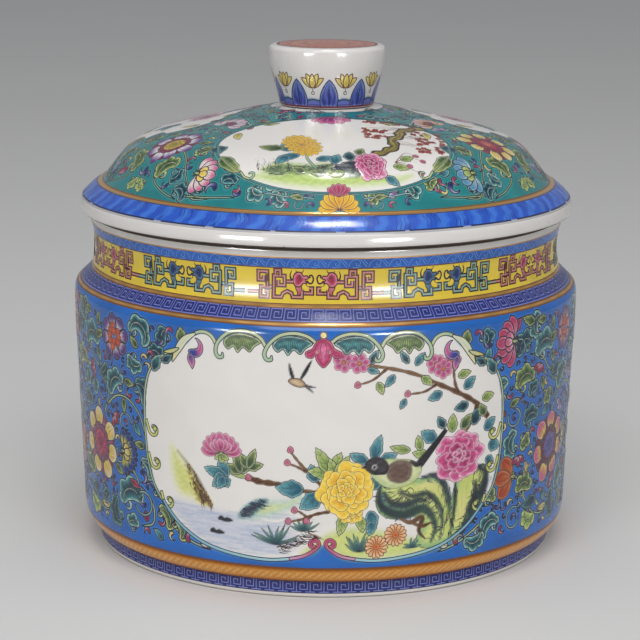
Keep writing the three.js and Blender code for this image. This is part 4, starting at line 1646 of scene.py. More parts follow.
    def branches(self, pen: Pen) -> None:
        """Paint the branch across the middle, its bud twigs, and the bough at the upper right."""
        for path, wide in (
                ([(-22.4, 37.0), (-18, 35.8), (-13, 35.4), (-9.6, 34.2), (-5, 33.6), (1, 33.4)], 1.5),
                ([(0, 35.4), (-2.6, 37.4), (-4.4, 39.6), (-6.6, 42), (-9, 45)], 0.85),
                ([(-4.6, 39.4), (-7.2, 40.8), (-9.6, 41.6)], 0.6),
                ([(2, 27.6), (-2, 26.8), (-6, 25.2), (-9.4, 24.4)], 0.7),
                ([(-4.4, 25.8), (-6.6, 27.4), (-8, 27.6)], 0.5), ([(-3, 26.4), (-4.4, 24.8)], 0.5),
                ([(51, 52), (46, 57), (40, 60.6), (33, 64), (26, 67.4), (18, 69.6), (9, 71)], 1.3),
                ([(40, 60.4), (38.6, 64), (38, 68.4)], 0.8), ([(33, 64), (29, 62), (24, 61.6)], 0.6),
                ([(46.6, 56.6), (45, 51.6), (42.6, 48)], 0.8),
                ([(18, 69.6), (14, 66.4), (10, 65)], 0.6)):
            spine = through(path, 5)
            knots = 1 + 0.25 * np.sin(np.arange(len(spine)) * 1.9)
            half = wide / 2 * np.linspace(1.15, 0.5, len(spine)) * knots
            pen.blade(spine, half, half, Tint((108, 70, 40), (150, 108, 64), strokes=0.4), BROWN)
        pen.vine([(-28.8, 41.6), (-28.0, 39.0), (-25.8, 37.6), (-22.4, 36.8)], 1.5,
                 Tint((212, 220, 160), (176, 196, 120)))
        for x, y in ((-9.2, 45.6), (-10.1, 41.8), (-8.1, 27.7), (-9.9, 24.3), (-4.6, 24.6), (24, 61.6),
                     (9.6, 64.8), (30.5, 70.6), (-21.6, 36.6)):
            pen.blob(np.array([(-0.9, -0.3), (-0.7, 0.7), (0, 1.25), (0.7, 0.7), (0.9, -0.3), (0, -0.8)])
                     + (x, y), BUD, 0.8, ROSY)

    def foliage(self, pen: Pen) -> None:
        """Paint the picture's leaves: blue-green, fresh green and olive ones, each with its veins."""
        for tint, leaves in (
                (BLUE_LEAF, ((-5.4, 34.4, 96, 8.2, 5.2), (-1.6, 36.4, 26, 5.6, 4.0),
                             (0.6, 36.6, -30, 4.8, 3.4), (-0.6, 33.0, 134, 7.6, 5.2),
                             (14.6, 33.8, -14, 5.4, 3.6), (13.4, 30.8, 80, 6.6, 5.0),
                             (13.6, 27.6, -160, 6.0, 3.8), (14.4, 24.6, 176, 4.6, 3.2),
                             (14.6, 42.6, -8, 7.8, 3.6), (13.0, 42.2, 70, 6.0, 3.4),
                             (16.4, 42.2, -62, 5.4, 3.2), (51.6, 43.6, -100, 4.8, 4.0),
                             (50.0, 48.0, -40, 5.2, 3.6), (50.8, 39.6, -118, 4.0, 3.0),
                             (33.4, 47.4, 66, 5.8, 4.0), (12.2, 69.4, -100, 3.8, 2.0),
                             (26.2, 69.8, -30, 4.6, 2.4), (20.0, 67.6, 150, 4.4, 2.4),
                             (34.6, 61.4, 120, 4.8, 3.0), (42.0, 61.4, -40, 5.0, 3.2),
                             (23.4, 60.4, 160, 3.4, 2.0))),
                (FRESH, ((10.6, 26.0, 200, 5.0, 3.0), (6.0, 27.0, 176, 6.8, 3.2),
                         (31.4, 43.0, 84, 5.6, 3.0), (25.4, 45.0, 84, 6.4, 2.6), (28.6, 44.6, 20, 4.8, 2.6),
                         (38.6, 49.0, 8, 5.6, 3.4), (28.0, 66.4, -120, 4.4, 2.6),
                         (48.4, 57.6, -70, 4.6, 3.0), (39.6, 65.4, -70, 4.6, 2.6),
                         (15.2, 65.6, -150, 4.0, 2.4))),
                (DEEP_TEAL, ((45.6, 50.2, -14, 5.6, 3.8), (43.6, 57.0, 110, 5.0, 3.2),
                             (1.6, 72.0, 60, 4.0, 2.4), (13.2, 70.8, -20, 4.6, 2.4),
                             (24.2, 70.6, 40, 4.6, 2.2), (36.0, 50.6, 40, 4.4, 2.8))),
                (OLIVE, ((50.0, 52.6, 40, 4.6, 3.2), (35.4, 66.8, 70, 4.2, 2.6),
                         (41.6, 49.4, -30, 5.6, 3.4)))):
            for x, y, turn, length, width in leaves:
                pen.at(x, y, turn).leaf(length, width, tint)
        for x, y, turn, length, width, tint in (
                (2.8, 38.4, 30, 9.6, 3.8, FRESH), (3.4, 38.0, -34, 7.6, 3.0, FRESH),
                (-23.8, 37.8, 16, 7.0, 3.0, OLIVE), (-21.8, 39.4, -22, 6.6, 2.8, OLIVE),
                (-28.0, 36.2, 74, 7.8, 3.8, BLUE_LEAF), (-29.0, 36.4, 150, 4.6, 3.2, BLUE_LEAF)):
            pen.at(x, y, turn).spray(length, width, tint, 44)

    def bird(self, pen: Pen) -> None:
        """Paint the perched bird: tail, body, wing and black cap, each with brushed feathers."""
        tail = through([(24.6, 36.6), (28.4, 40.6), (32.4, 45.2), (36.4, 50.0)])
        pen.blade(tail, np.linspace(1.6, 0.7, len(tail)), np.linspace(1.4, 0.5, len(tail)), SOOT)
        pen.blob([(13.6, 39.4), (15.6, 42.4), (18.6, 43), (22, 42.6), (26, 42), (29, 39.4), (27.4, 36),
                  (23.4, 34.2), (19, 34.2), (15.6, 36.2)],
                 Tint((222, 226, 176), (192, 206, 146), strokes=0.05), 2.4, Brush(Ink.DARK, 0.1, 0.3, 0.3))
        pen.blob([(18.6, 40.6), (21.4, 42.2), (25.2, 41.6), (26, 39), (25.2, 36.4), (22.4, 35.4),
                  (19.4, 36.4), (18.4, 38.4)],
                 Tint((104, 84, 76), (140, 122, 104), (84, 66, 60), 0.4, 0.14), 1.6,
                 Brush(None, relief=0.3, soft=0.4))
        for k in range(8):
            y = 36.4 + k * 0.55
            pen.curve([(19.4 + 0.1 * k, y), (22.4, y + 0.3), (25.8, y + 0.2 * (k - 3))], 0.16, Ink.SEPIA)
        pen.stroke([(25.4, 41.8), (27.4, 40.4), (29.4, 41)], 0.7, SOOT, FINE)
        pen.blob([(12.0, 40.6), (12.8, 42.6), (15, 43.6), (17.6, 42.8), (19, 40.6), (18.2, 38.6),
                  (16.6, 38.4), (14.2, 38.6)], SOOT, 1)
        pen.blob([(12.5, 41.4), (11.0, 40.6), (12.7, 40.1)], SOOT, 1, FINE, 1)
        pen.dot(14.8, 40.6, 0.8, Tint((20, 20, 26), (210, 210, 210)), BARE)
        pen.dot(14.8, 40.6, 0.4, Tint((14, 14, 18), (20, 20, 24)), BARE)

    def swallow(self, pen: Pen) -> None:
        """Paint a small flying bird with two raised wings and a forked tail, about the pen's place."""
        for path, wide in (([(-0.6, 0), (-1.6, 2.6), (-2.3, 5.6)], 0.6),
                           ([(0.6, 0.4), (2.4, 3.4), (4.0, 6.6)], 0.6),
                           ([(1.6, -0.8), (3.2, -1.8), (4.6, -3.0)], 0.3),
                           ([(1.6, -0.4), (3.4, -1.1), (5.2, -1.4)], 0.3)):
            pen.stroke(path, wide, SOOT, BARE)
        pen.blob([(-2.6, 0.4), (-1.4, 1.2), (1, 0.9), (2.4, -0.8), (0.6, -1.3), (-1.4, -0.7)],
                 Tint((214, 190, 150), (150, 110, 80)), 0.8)

    def paint(self) -> None:
        """Paint everything: grounds, zones, halos, panels, then the narrow bands."""
        self.flat_bands()
        third = ROUND / 3
        for k, look in ((-1.5, 2), (-0.5, 0), (0.5, 1), (1.5, 2)):
            self.zone(k * third, BOUQUETS[look])
        self.canvas.halo(10.5, 81.2, TONE.halo, 0.85)
        for k, look in ((-1, 2), (0, 0), (1, 1)):
            pen = Pen(self.canvas, k * third - 0.6)
            self.frame(pen)
            self.picture(pen, look)
            self.border(pen)
        self.braid()
        self.fret(self.foot_fret, 112, 0.28)
        self.fret(self.shoulder_fret, 120, 0.23)
        self.scrolls()
        self.dragons()


@dataclass
class LidPainting:
    """The lid's outside, painted on a disc: the distance from the middle is the arc length."""
    form: LidForm
    canvas: Canvas = field(init=False)
    turn: float = 3.0
    ring_out: float = 17.4
    dome_out: float = 75.4
    gold_out: float = 77.5
    band_out: float = 83.2

    def __post_init__(self) -> None:
        """Make the bare canvas."""
        self.canvas = Canvas((-90.0, -90.0), (90.0, 90.0))

    def wrap(self) -> Wrap:
        """How the painting lies on the lid: the parameter is the arc length from the axis."""
        points = self.form.outside()[::-1]
        shape = Profile(points, lengths(points))
        shape.normals = -shape.normals
        return Wrap(shape, 1.0, disc=True, turn=self.turn)

    def grounds(self) -> None:
        """Paint the teal dome, the gilt line, the cobalt feather band and the rim's grey painted shade by
        distance from the middle.
        """
        _, x, y = self.canvas.band(-90, 90)
        out, angle = np.hypot(x, y), np.arctan2(x, -y)
        cloud = (1 + 0.07 * wander(x * 0.35, y * 0.35, 4))[..., None]
        teal = np.asarray(TONE.lid_ground, np.float32) * cloud
        rgb = mix(TONE.white, teal, smooth(out, self.ring_out - 0.5, self.ring_out + 0.5))
        bulge = np.clip(np.sin(np.pi * (out - self.dome_out) / (self.gold_out - self.dome_out)), 0, 1)
        gold = mix(TONE.gold_deep, TONE.gold, bulge ** 0.5)
        is_gold = (out > self.dome_out) & (out < self.gold_out)
        v = (out - self.gold_out) / (self.band_out - self.gold_out)
        lean = angle * 27 + 0.8 * v + 0.16 * np.sin(3 * np.pi * v) + 0.4 * wander(x * 0.3, y * 0.3, 9)
        feather = smooth(np.sin(lean * 2 * np.pi / 2.2), -0.7, 0.9) * 0.62
        blue = mix(TONE.cobalt, TONE.cobalt_light,
                   np.clip(feather + 0.1 + 0.1 * np.sin(lean * 15 + v * 9), 0, 1))
        # past the feather band the lid's white rim is painted grey, as painted shade
        for mask, colour in ((is_gold, gold), ((out >= self.gold_out) & (out < self.band_out), blue),
                             (out >= self.band_out, np.asarray(TONE.rim, np.float32))):
            rgb = np.where(mask[..., None], colour, rgb)
        self.canvas.rgb[:] = rgb
        self.canvas.gilt[:] = is_gold * 0.5
        self.canvas.relief[:] = np.where(is_gold, 0.4, np.where(out < self.band_out, 0.12, 0.0))
        for radius, width, ink in ((self.dome_out, 0.2, Ink.SEPIA), (self.gold_out, 0.25, Ink.NAVY),
                                   (self.band_out, 0.5, Ink.NAVY), (self.ring_out + 0.2, 0.3, Ink.DARK)):
            self.canvas.line(arc(radius, 0, 360, steps=361), width, ink)
        for k in range(50):
            pen = Pen(self.canvas).at(0, 0, 7.2 * k)
            edge, way = (self.gold_out, 1) if k % 2 else (self.band_out, -1)
            pen.blob([(-1.3, -edge), (0.2, -edge - way * 0.7), (1.0, -edge - way * 2.4), (1.5, -edge)],
                     Tint((26, 54, 138), TONE.cobalt), 1, Brush(None, relief=0.12), 1)
            for x in (-3.4, -2.0, -0.5, 1.0):
                pen.curve([(x, -edge - way * 0.4), (x + 0.9, -edge - way * 2.6),
                           (x + 0.5 - way * 0.4, -edge - way * 4.8)], 0.22, Ink.NAVY)

    def zone(self, angle: float, look: Bouquet, point: float) -> None:
        """Paint the blooms and leaves between two medallions.

        Args:
            angle: where its middle is, in degrees from the front.
            look: its colours.
            point: how far out the main bloom's petals are widest.
        """
        pen = Pen(self.canvas, fine=1.5).at(0, 0, angle)
        pale = Tint((206, 232, 232), (92, 150, 190), (216, 236, 240), 0.3, 0.14)
        blush = Tint((248, 232, 228), (198, 66, 116), (244, 214, 226), 0.3, 0.1, (0.5, 1.05))
        for flip in (False, True):
            p = pen.at(0, 0, flip=flip)
            for path in ([(3, -46), (9, -40), (8, -32), (3, -26)],
                         [(8, -56), (14, -59), (19, -63), (24, -66)],
                         [(4, -64), (8, -69), (15, -71), (22, -71)], [(9, -40), (14, -38), (16, -32)],
                         [(24, -66), (28, -68), (33, -65)], [(25, -68.6), (33, -64.6), (40, -59.6)]):
                p.vine(path, 0.55, STEM)
            for x, y, turn, radius, sweep, width, tint in (
                    (13.4, -45.0, 20, 3.8, 170, 5.6, DEEP_TEAL), (11.0, -66.0, 60, 4.2, 160, 6.0, OLIVE),
                    (20.8, -70.0, -20, 3.0, 170, 4.4, DEEP_TEAL), (5.6, -36.4, 40, 3.2, 150, 4.8, TEAL),
                    (12.4, -34.0, 0, 3.0, 160, 4.8, OLIVE), (17.4, -54.0, 80, 3.0, 160, 4.6, OLIVE),
                    (4.2, -27.6, 60, 2.8, 150, 4.0, DEEP_TEAL), (3.8, -70.4, 160, 2.4, 150, 3.6, FRESH),
                    (28.6, -63.6, 120, 2.8, 160, 4.2, DEEP_TEAL)):
                p.at(x, y, turn).frond(radius, sweep, width, tint)
            p.vine(arc(3.0, 30, 300, 2.2, 9) + (14.0, -51.4), 0.5, ICE_STEM)
            fan_bloom(p.at(22.6, -61.0, -70), 7.0, pale if flip else blush, FRESH if flip else YELLOW, 160)
        lotus(pen.at(0, -54.6), 10.0, look, 8, point)
        pen.at(0, -36.4).petals(7, 0.4, 7.0, 3.8, replace(look.petal, tip=(236, 190, 208)), sweep=170)
        pen.at(0, -36.4).petals(3, 0.2, 3.4, 2.2, look.heart, sweep=70, veins=False)

        def bare_ground(x: Array, y: Array) -> Array:
            """Whether a point lies on the teal ground, within the zone's third of it."""
            out, angle = np.hypot(x, y), np.abs(np.arctan2(x, -y))
            return (out > self.ring_out + 1) & (out < self.dome_out - 4.4) & (angle < math.pi / 3.4)

        pen.scatter((-66, 66), (-75, -10), bare_ground, look.seed + 20,
                    (Filler.FROND, Filler.LEAF, Filler.BUD))

    def medallion(self, angle: float, look: int) -> None:
        """Paint one medallion: its white field, its rims and leaves, and a small garden picture.

        Args:
            angle: where its middle is, in degrees from the front.
            look: 0 for the front; the others show a broad pink bloom in place of the tree.
        """
        pen = Pen(self.canvas).at(0, 0, angle)
        draw = np.random.default_rng(5 + look)
        edge = through(mirrored([(0, -23.4), (9, -23.4), (17, -23.8), (24, -25.6), (30, -29.6),
                                 (33.8, -36.4), (34.2, -44.6), (31.4, -52.6), (26, -60), (18, -65.4),
                                 (9, -68.2), (0, -69)]), 4, True) + (0, 46.4)
        for reach, colour in ((1.04, TONE.lid_halo), (1.024, (42, 128, 132)), (1.0, TONE.field)):
            pen.canvas.fill(pen.place(edge * reach - (0, 46.4)), colour, Brush(None, relief=0.1))
            pen.line(np.vstack([edge, edge[:1]]) * reach - (0, 46.4), 0.18)
        pen.blob([(-26, -58.6), (-17, -61), (-9, -59.6), (-3, -61.6), (3, -62), (10, -61), (16, -62.4),
                  (22, -60), (18, -63.4), (10, -66), (0, -67.2), (-9, -66.6), (-18, -63.8)],
                 Tint((176, 206, 92), (188, 212, 116), strokes=0.08), 2, WASH)
        pen.blob([(-22, -57.6), (-17, -56), (-12, -57.4), (-7, -58.6), (-3, -58), (-1, -61), (-7, -62.6),
                  (-14, -62), (-20, -60.6)], Tint((96, 130, 70), (150, 178, 96), strokes=0.3), 1.6, WASH)
        pen.hatch([(-20, -59), (-10, -60.6), (-2, -60), (6, -60)], 1.6, 3.0, 10, 120, draw, 0.3,
                  (Ink.DARK, Ink.NAVY, Ink.DARK))
        pen.hatch([(-23, -57.4), (-18, -58.6), (-14, -60)], 0.6, 6.0, 104, 26, draw, 0.24,
                  (Ink.DARK, Ink.SEPIA))
        pen.blob([(-1, -62.4), (1, -58.8), (4.6, -56.6), (7.4, -58.8), (7, -63.0), (2.6, -64.0)],
                 Tint((96, 108, 100), (60, 72, 76), strokes=0.3), 1.4, SHADE)
        pen.hatch([(-0.6, -61.6), (2, -58.8), (5, -58), (6.6, -60.6)], 1.8, 2.6, -40, 90, draw, 0.34,
                  (Ink.DARK, Ink.DARK, Ink.NAVY))
        if look:
            for x, y, size in ((0, -46, 13.0), (-15, -38, 6.0), (14, -35, 6.0)):
                for count, share in ((9, 1.0), (7, 0.68), (4, 0.36)):
                    pen.at(x, y, 11 * count).petals(count, 0.2, size * share, size * 0.5 * share ** 0.5,
                                                    replace(PINK, tip=(240, 196, 212), rim_width=0.8), ROSY)
            for x, y, turn in ((-14, -52, 120), (13, -54, 230), (-20, -46, 80), (21, -44, -80),
                               (6, -31, -20), (-6, -32, 30)):
                pen.at(x, y, turn).spray(7.4, 4.0, BLUE_LEAF)
        else:
            self.tree(pen, draw)
        for x, y, turn, length, width, tint in (
                (-10.6, -52.6, 100, 6.6, 4.0, BLUE_LEAF), (-13.0, -49.6, 30, 6.4, 4.0, BLUE_LEAF),
                (-15.0, -47.4, 70, 8.0, 4.4, OLIVE), (-14.0, -52.4, 140, 5.4, 3.8, BLUE_LEAF),
                (-6.0, -56.2, -70, 5.6, 3.4, BLUE_LEAF), (-1.0, -58.4, -10, 5.6, 3.6, BLUE_LEAF),
                (4.0, -56.6, 10, 5.4, 3.6, DEEP_TEAL), (6.4, -53.0, -10, 4.6, 3.0, OLIVE),
                (14.0, -62.6, -110, 5.0, 3.0, BLUE_LEAF), (16.4, -58.0, -80, 5.0, 3.0, FRESH),
                (-3.6, -62.6, 80, 5.0, 3.0, OLIVE), (2.0, -62.0, 110, 5.0, 3.0, FRESH),
                (19.0, -54.6, -40, 5.0, 3.0, FRESH), (-9.4, -61.6, 60, 5.0, 2.8, OLIVE)):
            pen.at(x, y, turn).leaf(length, width, tint)
        gold = Tint((226, 146, 24), (246, 196, 56), (250, 222, 110), 0.3, 0.12)
        if not look:
            pen.vine([(-8, -51), (-8.6, -55), (-6, -61)], 0.7, STEM)
            bloom = pen.at(-9.6, -45.4, 22, squeeze=0.62)
            for radius, count in ((8.8, 16), (7.0, 13), (5.2, 10), (3.2, 7)):
                bloom.petals(count, 0.4, radius, 3.0, gold, Brush(Ink.SEPIA, 0.12),
                             start=90 + radius * 9, point=0.7, veins=False)
            pinks = (replace(PINK, tip=(240, 180, 206)), PINK, replace(PINK, root=(150, 24, 84)))
            pen.at(9.8, -58.0, 14, squeeze=0.74).ruffle(7.0, pinks, 3, ROSY)
        right = edge[edge[:, 0] > 0]
        for flip in (False, True):
            p = pen.at(0, 0, flip=flip)
            for low, high, tint in ((-45.6, -37.4, DEEP_TEAL), (-57.4, -46.4, OLIVE)):
                part = right[(right[:, 1] - 46.4 > low) & (right[:, 1] - 46.4 < high)] * 0.99 - (0, 46.4)
                lobes = 2.6 + 0.6 * np.sin(np.arange(len(part)) * 1.6)
                swell = np.sin(np.linspace(0.1, 3.0, len(part))) * lobes
                p.blade(part, 0.1, swell, tint)
                p.blade(part, swell, 0.1, tint)
            p.vine(np.vstack([[(28.4, -56.4), (27.6, -58.6)], arc(1.6, -20, -300, 0.5, 7) + (25.6, -58.6)]),
                   0.7, STEM)
            straw = Tint((190, 180, 80), (232, 214, 100), (246, 232, 176))
            p.at(27.6, -29.6, 200).leaf(6.0, 2.6, straw, 0.3, 1)
            p.at(20.0, -25.2, 100).leaf(4.6, 1.8, FRESH, 0.3, 1)
            p.vine([(7.4, -70.8), (11, -69.8), (15.4, -69.0), (19.6, -67.2), (23, -66.0)], 0.5, ICE_STEM)
            p.vine(arc(1.6, 160, 290, 1.0, 7) + (12.4, -72.0), 0.4, ICE_STEM)
            p.at(10.6, -70.4, -60).leaf(4.6, 2.0, OLIVE, 0.2, 2)
            p.at(3.0, -23.6, -60).leaf(4.8, 2.6, DEEP_TEAL, 0.2, 2)
            for x, y, bud in ((24.6, -26.2, ROSE_BUD), (8.6, -72.8, NAVY_BUD), (16.4, -71.6, ROSE_BUD),
                              (21.6, -69.4, NAVY_BUD), (14.6, -20.8, NAVY_BUD), (8.8, -20.6, ROSE_BUD),
                              (30.6, -62.0, ROSE_BUD)):
                p.at(x, y, 7 * x).comma(1.3, bud)
        pen.at(0, -21.6, 180).petals(5, 0.0, 7.0, 3.4, replace(PINK, root=(140, 34, 104)), ROSY, sweep=110)
        pen.at(0, -74.6).petals(9, 0.2, 6.6, 2.9, replace(gold, rim_width=0.4), ROSY, sweep=172,
                                veins=False)
        pen.at(0, -70.4).petals(5, 0.0, 4.4, 2.0, CRIMSON, ROSY, sweep=100, veins=False)

    def tree(self, pen: Pen, draw: np.random.Generator) -> None:
        """Paint the medallion's twisted tree with hanging red blossoms.

        Args:
            pen: pen of the medallion.
            draw: source of the blossoms' differences.
        """
        trunk = through([(11.4, -52.6), (15.0, -49.6), (17.8, -45), (17.0, -40.4), (19.6, -36),
                         (20.2, -31.6), (23.4, -28.0), (27.4, -24.6)])
        half = np.linspace(1.9, 1.2, len(trunk)) * (1 + 0.28 * np.sin(np.arange(len(trunk))))
        pen.blade(trunk, half, half[::-1], Tint((170, 158, 66), (190, 174, 92), (92, 64, 28), 0.5, 0.4),
                  Brush(Ink.DARK, 0.4))
        pen.curve(trunk[3::4] + (0.3, 0), 0.3, Ink.SEPIA)
        rust = Tint((214, 96, 66), (176, 50, 40), strokes=0.2)
        for x0, x1, count in ((9.0, 16.0, 24), (24.0, 32.6, 34), (9.6, 20.0, 12)):
            low = count == 12
            for _ in range(count):
                x = draw.uniform(x0, x1)
                if low:
                    y = -24.4 - 0.5 * draw.uniform(0, 3)
                else:
                    y = -29.4 - draw.uniform(0, 18 if x > 20 else 10)
                root = trunk[np.abs(trunk[:, 1] - y - 3).argmin()]
                if draw.uniform() < 0.4:
                    pen.curve([root, (root + (x, y)) / 2 + (0, 1.6), (x, y)], 0.24, Ink.SEPIA)
                pen.at(x, y, draw.uniform(0, 70)).petals(4, 0.1, 0.95, 0.8, rust, THIN, veins=False)
        for x, y in ((23.4, -50.6), (25.4, -53), (21.4, -56.6), (24.8, -58.6)):
            pen.curve([(17, -56), ((17 + x) / 2, y + 1), (x, y)], 0.3, Ink.SEPIA)
            pen.dot(x, y, 0.9, BUD, ROSY)

    def paint(self) -> None:
        """Paint the grounds, the three zones, the halos and the three medallions."""
        self.grounds()
        marked, self.canvas.top = self.canvas.top, np.zeros_like(self.canvas.top)
        violet = replace(BOUQUETS[0], petal=Tint((240, 234, 240), (88, 44, 124), (206, 190, 222), 0.25,
                                                 0.14, (0.42, 0.95)),
                         heart=Tint((190, 60, 104), (124, 24, 70), (226, 160, 186), 0.3, 0.2),
                         core=Tint((150, 130, 40), (196, 178, 66)))
        gold = replace(BOUQUETS[1],
                       petal=Tint((226, 180, 70), (244, 226, 150), (248, 238, 200), 0.4, 0.14),
                       heart=Tint((150, 24, 60), (176, 52, 84), (214, 120, 140), 0.3, 0.3),
                       core=Tint((206, 120, 90), (150, 30, 60)))
        for angle, look, point in ((60, gold, 0.8), (180, BOUQUETS[2], 0.5), (-60, violet, 0.1)):
            self.zone(angle, look, point)
        self.canvas.halo(-76, 76, TONE.lid_halo, 0.8)
        self.canvas.top = np.where(self.canvas.top == 0, marked, self.canvas.top)
        for k in range(3):
            self.medallion(120 * k, k)


@dataclass
class KnobPainting:
    """The knob's side and top, painted flat: x is the angle times 17 mm, y is the arc from the foot."""
    form: KnobForm
    canvas: Canvas = field(init=False)
    count: int = 10
    crown: float = 20.9

    def __post_init__(self) -> None:
        """Make the bare canvas, as tall as the knob's outline is long."""
        self.tall = float(lengths(self.form.outside())[-1])
        self.canvas = Canvas((-62.0, 0.0), (62.0, self.tall + 0.3))

    def wrap(self) -> Wrap:
        """How the painting lies on the knob."""
        points = self.form.outside()
        return Wrap(Profile(points, lengths(points)), KNOB_ARC)

    def paint(self) -> None:
        """Paint the lilac foot, the lappets and tulips of the side, the red rim and the gilt top."""
        _, x, y = self.canvas.band(0, self.tall + 0.3)
        rgb = mix((112, 118, 196), TONE.white,
                  smooth(y + 0.5 * np.cos(x / KNOB_ARC * self.count), 2.0, 3.4))
        swirl = (0.5 + 0.5 * np.cos((y - self.crown) * 1.3)) * (0.7 + 0.3 * np.sin(x / KNOB_ARC * 24))
        rgb = mix(rgb, mix((196, 58, 30), (232, 150, 50), swirl),
                  smooth(y, self.crown - 0.35, self.crown - 0.05))
        self.canvas.rgb[:] = rgb
        self.canvas.gilt[:] = 0.35 * smooth(y, self.crown, self.crown + 0.2)
        self.canvas.relief[:] = 0.3 * smooth(y, self.crown - 0.2, self.crown)
        around = np.linspace(-math.pi * KNOB_ARC, math.pi * KNOB_ARC, 97)
        for height, width, ink in ((0.5, 0.6, Ink.RED), (self.crown - 0.2, 0.8, Ink.RED),
                                   (1.2, 0.2, Ink.NAVY), (self.crown + 3.2, 0.25, Ink.GILT),
                                   (self.crown + 8, 0.25, Ink.GILT)):
            self.canvas.line(np.stack([around, np.full_like(around, height)], 1), width, ink)
        step = 2 * math.pi * KNOB_ARC / self.count
        t = np.linspace(0, 1, 16)
        spine = np.stack([0 * t, 0.6 + 8.6 * t], 1)
        half = 3.1 * np.clip(np.sin(np.pi * (0.36 + 0.64 * t)), 0, 1) ** 0.8
        for k in range(-1, self.count + 1):
            pen = Pen(self.canvas, (k + 0.067) * step - math.pi * KNOB_ARC, fine=1.1)
            bud = pen.at(step / 2, 0)
            bud.vine([(-step / 2 + 1.8, 3.4), (-step / 4, 2.5), (0, 2.9), (step / 4, 2.5),
                      (step / 2 - 1.8, 3.4)], 0.5, Tint((42, 84, 92), (42, 84, 92)), BARE)
            pen.blade(spine, half, half, Tint((86, 94, 190), (112, 136, 212), (150, 168, 226), 0.5, 0.3),
                      Brush(Ink.NAVY, 0.32))
            pen.curve([(0, 1.2), (0, 4.6), (0, 7.6)], 0.4, Ink.NAVY)
            for i in (3, 6, 9):
                for side in (-1, 1):
                    pen.line([spine[i], spine[i] + (side * half[i] * 0.75, 1.3)], 0.2, Ink.NAVY, True)
            for tilt in (-52, 52, -24, 24, 0):
                bud.at(0, 7.0, tilt).petals(1, -0.3, 4.4 if tilt else 4.0, 1.9,
                                            Tint((214, 186, 70), (240, 218, 96), (246, 236, 170)),
                                            Brush(Ink.SEPIA, 0.3), point=-0.25, veins=False)
            bud.line(arc(0.5, 0, 350, steps=12) + (0, 5.0), 0.22, Ink.NAVY)
            bud.line([(0, 6.4), (0, 5.6)], 0.2)


class Socket(Enum):
    """The kinds of socket that the group has."""
    NUMBER = "NodeSocketFloat"
    COLOUR = "NodeSocketColor"


class Coat(IntEnum):
    """The finishes of a turned body, in the order of its materials."""
    WHITE = 0
    INSIDE = 1
    BARE = 2
    # dark brown painted shade in the gap between the lid's rim and the jar's lip
    WORN = 3


class Tree:
    """A node tree under construction."""

    def __init__(self, tree: bpy.types.NodeTree) -> None:
        """Hold the tree."""
        self.tree = tree

    def node(self, kind: str, **values: object) -> bpy.types.Node:
        """Add a node.

        Args:
            kind: the node's type.
            values: properties of the node, or values of its inputs with spaces as underscores, each
                a constant or a socket to be linked.

        Returns:
            The node.
        """
        node = self.tree.nodes.new(kind)
        for key, value in values.items():
            if hasattr(node, key):
                setattr(node, key, value)
            else:
                self.plug(value, node.inputs[key.replace("_", " ")])
        return node

    def plug(self, value: object, target: bpy.types.NodeSocket) -> None:
        """Link a socket to an input, or set the input to a constant."""
        if isinstance(value, bpy.types.NodeSocket):
            self.tree.links.new(value, target)
        else:
            target.default_value = value

    def maths(self, operation: str, *values: object) -> bpy.types.NodeSocket:
        """Add a math node on numbers or sockets, and give its output."""
        node = self.node("ShaderNodeMath", operation=operation)
        for value, target in zip(values, node.inputs):
            self.plug(value, target)
        return node.outputs[0]


def new_material(name: str) -> tuple[bpy.types.Material, Tree, bpy.types.bpy_prop_collection]:
    """A new material, its node tree, and the inputs of its shader."""
    material = bpy.data.materials.new(name)
    material.use_nodes = True
    return material, Tree(material.node_tree), material.node_tree.nodes["Principled BSDF"].inputs


def glaze_surface() -> bpy.types.NodeTree:
    """The glaze's own surface: slow pooling, fine pits and specks, and the waviness of its gloss.

    Returns:
        A group that takes a colour and gives a colour, a roughness and a bump height.
    """
    group = bpy.data.node_groups.new("glaze surface", "ShaderNodeTree")
    for label, kind, way in (("Colour", Socket.COLOUR, "INPUT"), ("Pooling", Socket.NUMBER, "INPUT"),
                             ("Specks", Socket.NUMBER, "INPUT"), ("Gloss", Socket.NUMBER, "INPUT"),
                             ("Colour", Socket.COLOUR, "OUTPUT"), ("Roughness", Socket.NUMBER, "OUTPUT"),
                             ("Height", Socket.NUMBER, "OUTPUT")):
        group.interface.new_socket(name=label, in_out=way, socket_type=kind.value)
    tree = Tree(group)
    given = tree.node("NodeGroupInput").outputs
    place = tree.node("ShaderNodeTexCoord").outputs["Object"]
    slow = tree.node("ShaderNodeTexNoise", Scale=38.0, Detail=3.0, Vector=place).outputs["Fac"]
    fine = tree.node("ShaderNodeTexNoise", Scale=620.0, Detail=2.0, Vector=place).outputs["Fac"]
    pits = tree.node("ShaderNodeTexVoronoi", Scale=260.0, Vector=place).outputs
    value = tree.maths("MULTIPLY_ADD", tree.maths("SUBTRACT", slow, 0.5), given["Pooling"], 1.0)
    shade = tree.node("ShaderNodeHueSaturation", Value=value, Color=given["Colour"]).outputs["Color"]
    near = tree.maths("LESS_THAN", pits["Distance"], 0.08)
    chance = tree.maths("GREATER_THAN",
                        tree.node("ShaderNodeSeparateColor", Color=pits["Color"]).outputs[0], 0.9)
    weight = tree.maths("MULTIPLY", tree.maths("MULTIPLY", near, chance), given["Specks"])
    spot = tree.node("ShaderNodeMix", data_type="RGBA")
    for source, target in ((weight, "Factor_Float"), (shade, "A_Color"),
                           (shader((120, 98, 80)), "B_Color")):
        tree.plug(source, next(s for s in spot.inputs if s.identifier == target))
    mixed = next(s for s in spot.outputs if s.identifier == "Result_Color")
    tree.node("NodeGroupOutput", Colour=mixed,
              Roughness=tree.maths("MULTIPLY_ADD", fine, 0.06, given["Gloss"]),
              Height=tree.maths("MULTIPLY_ADD", fine, 0.15, slow))
    return group


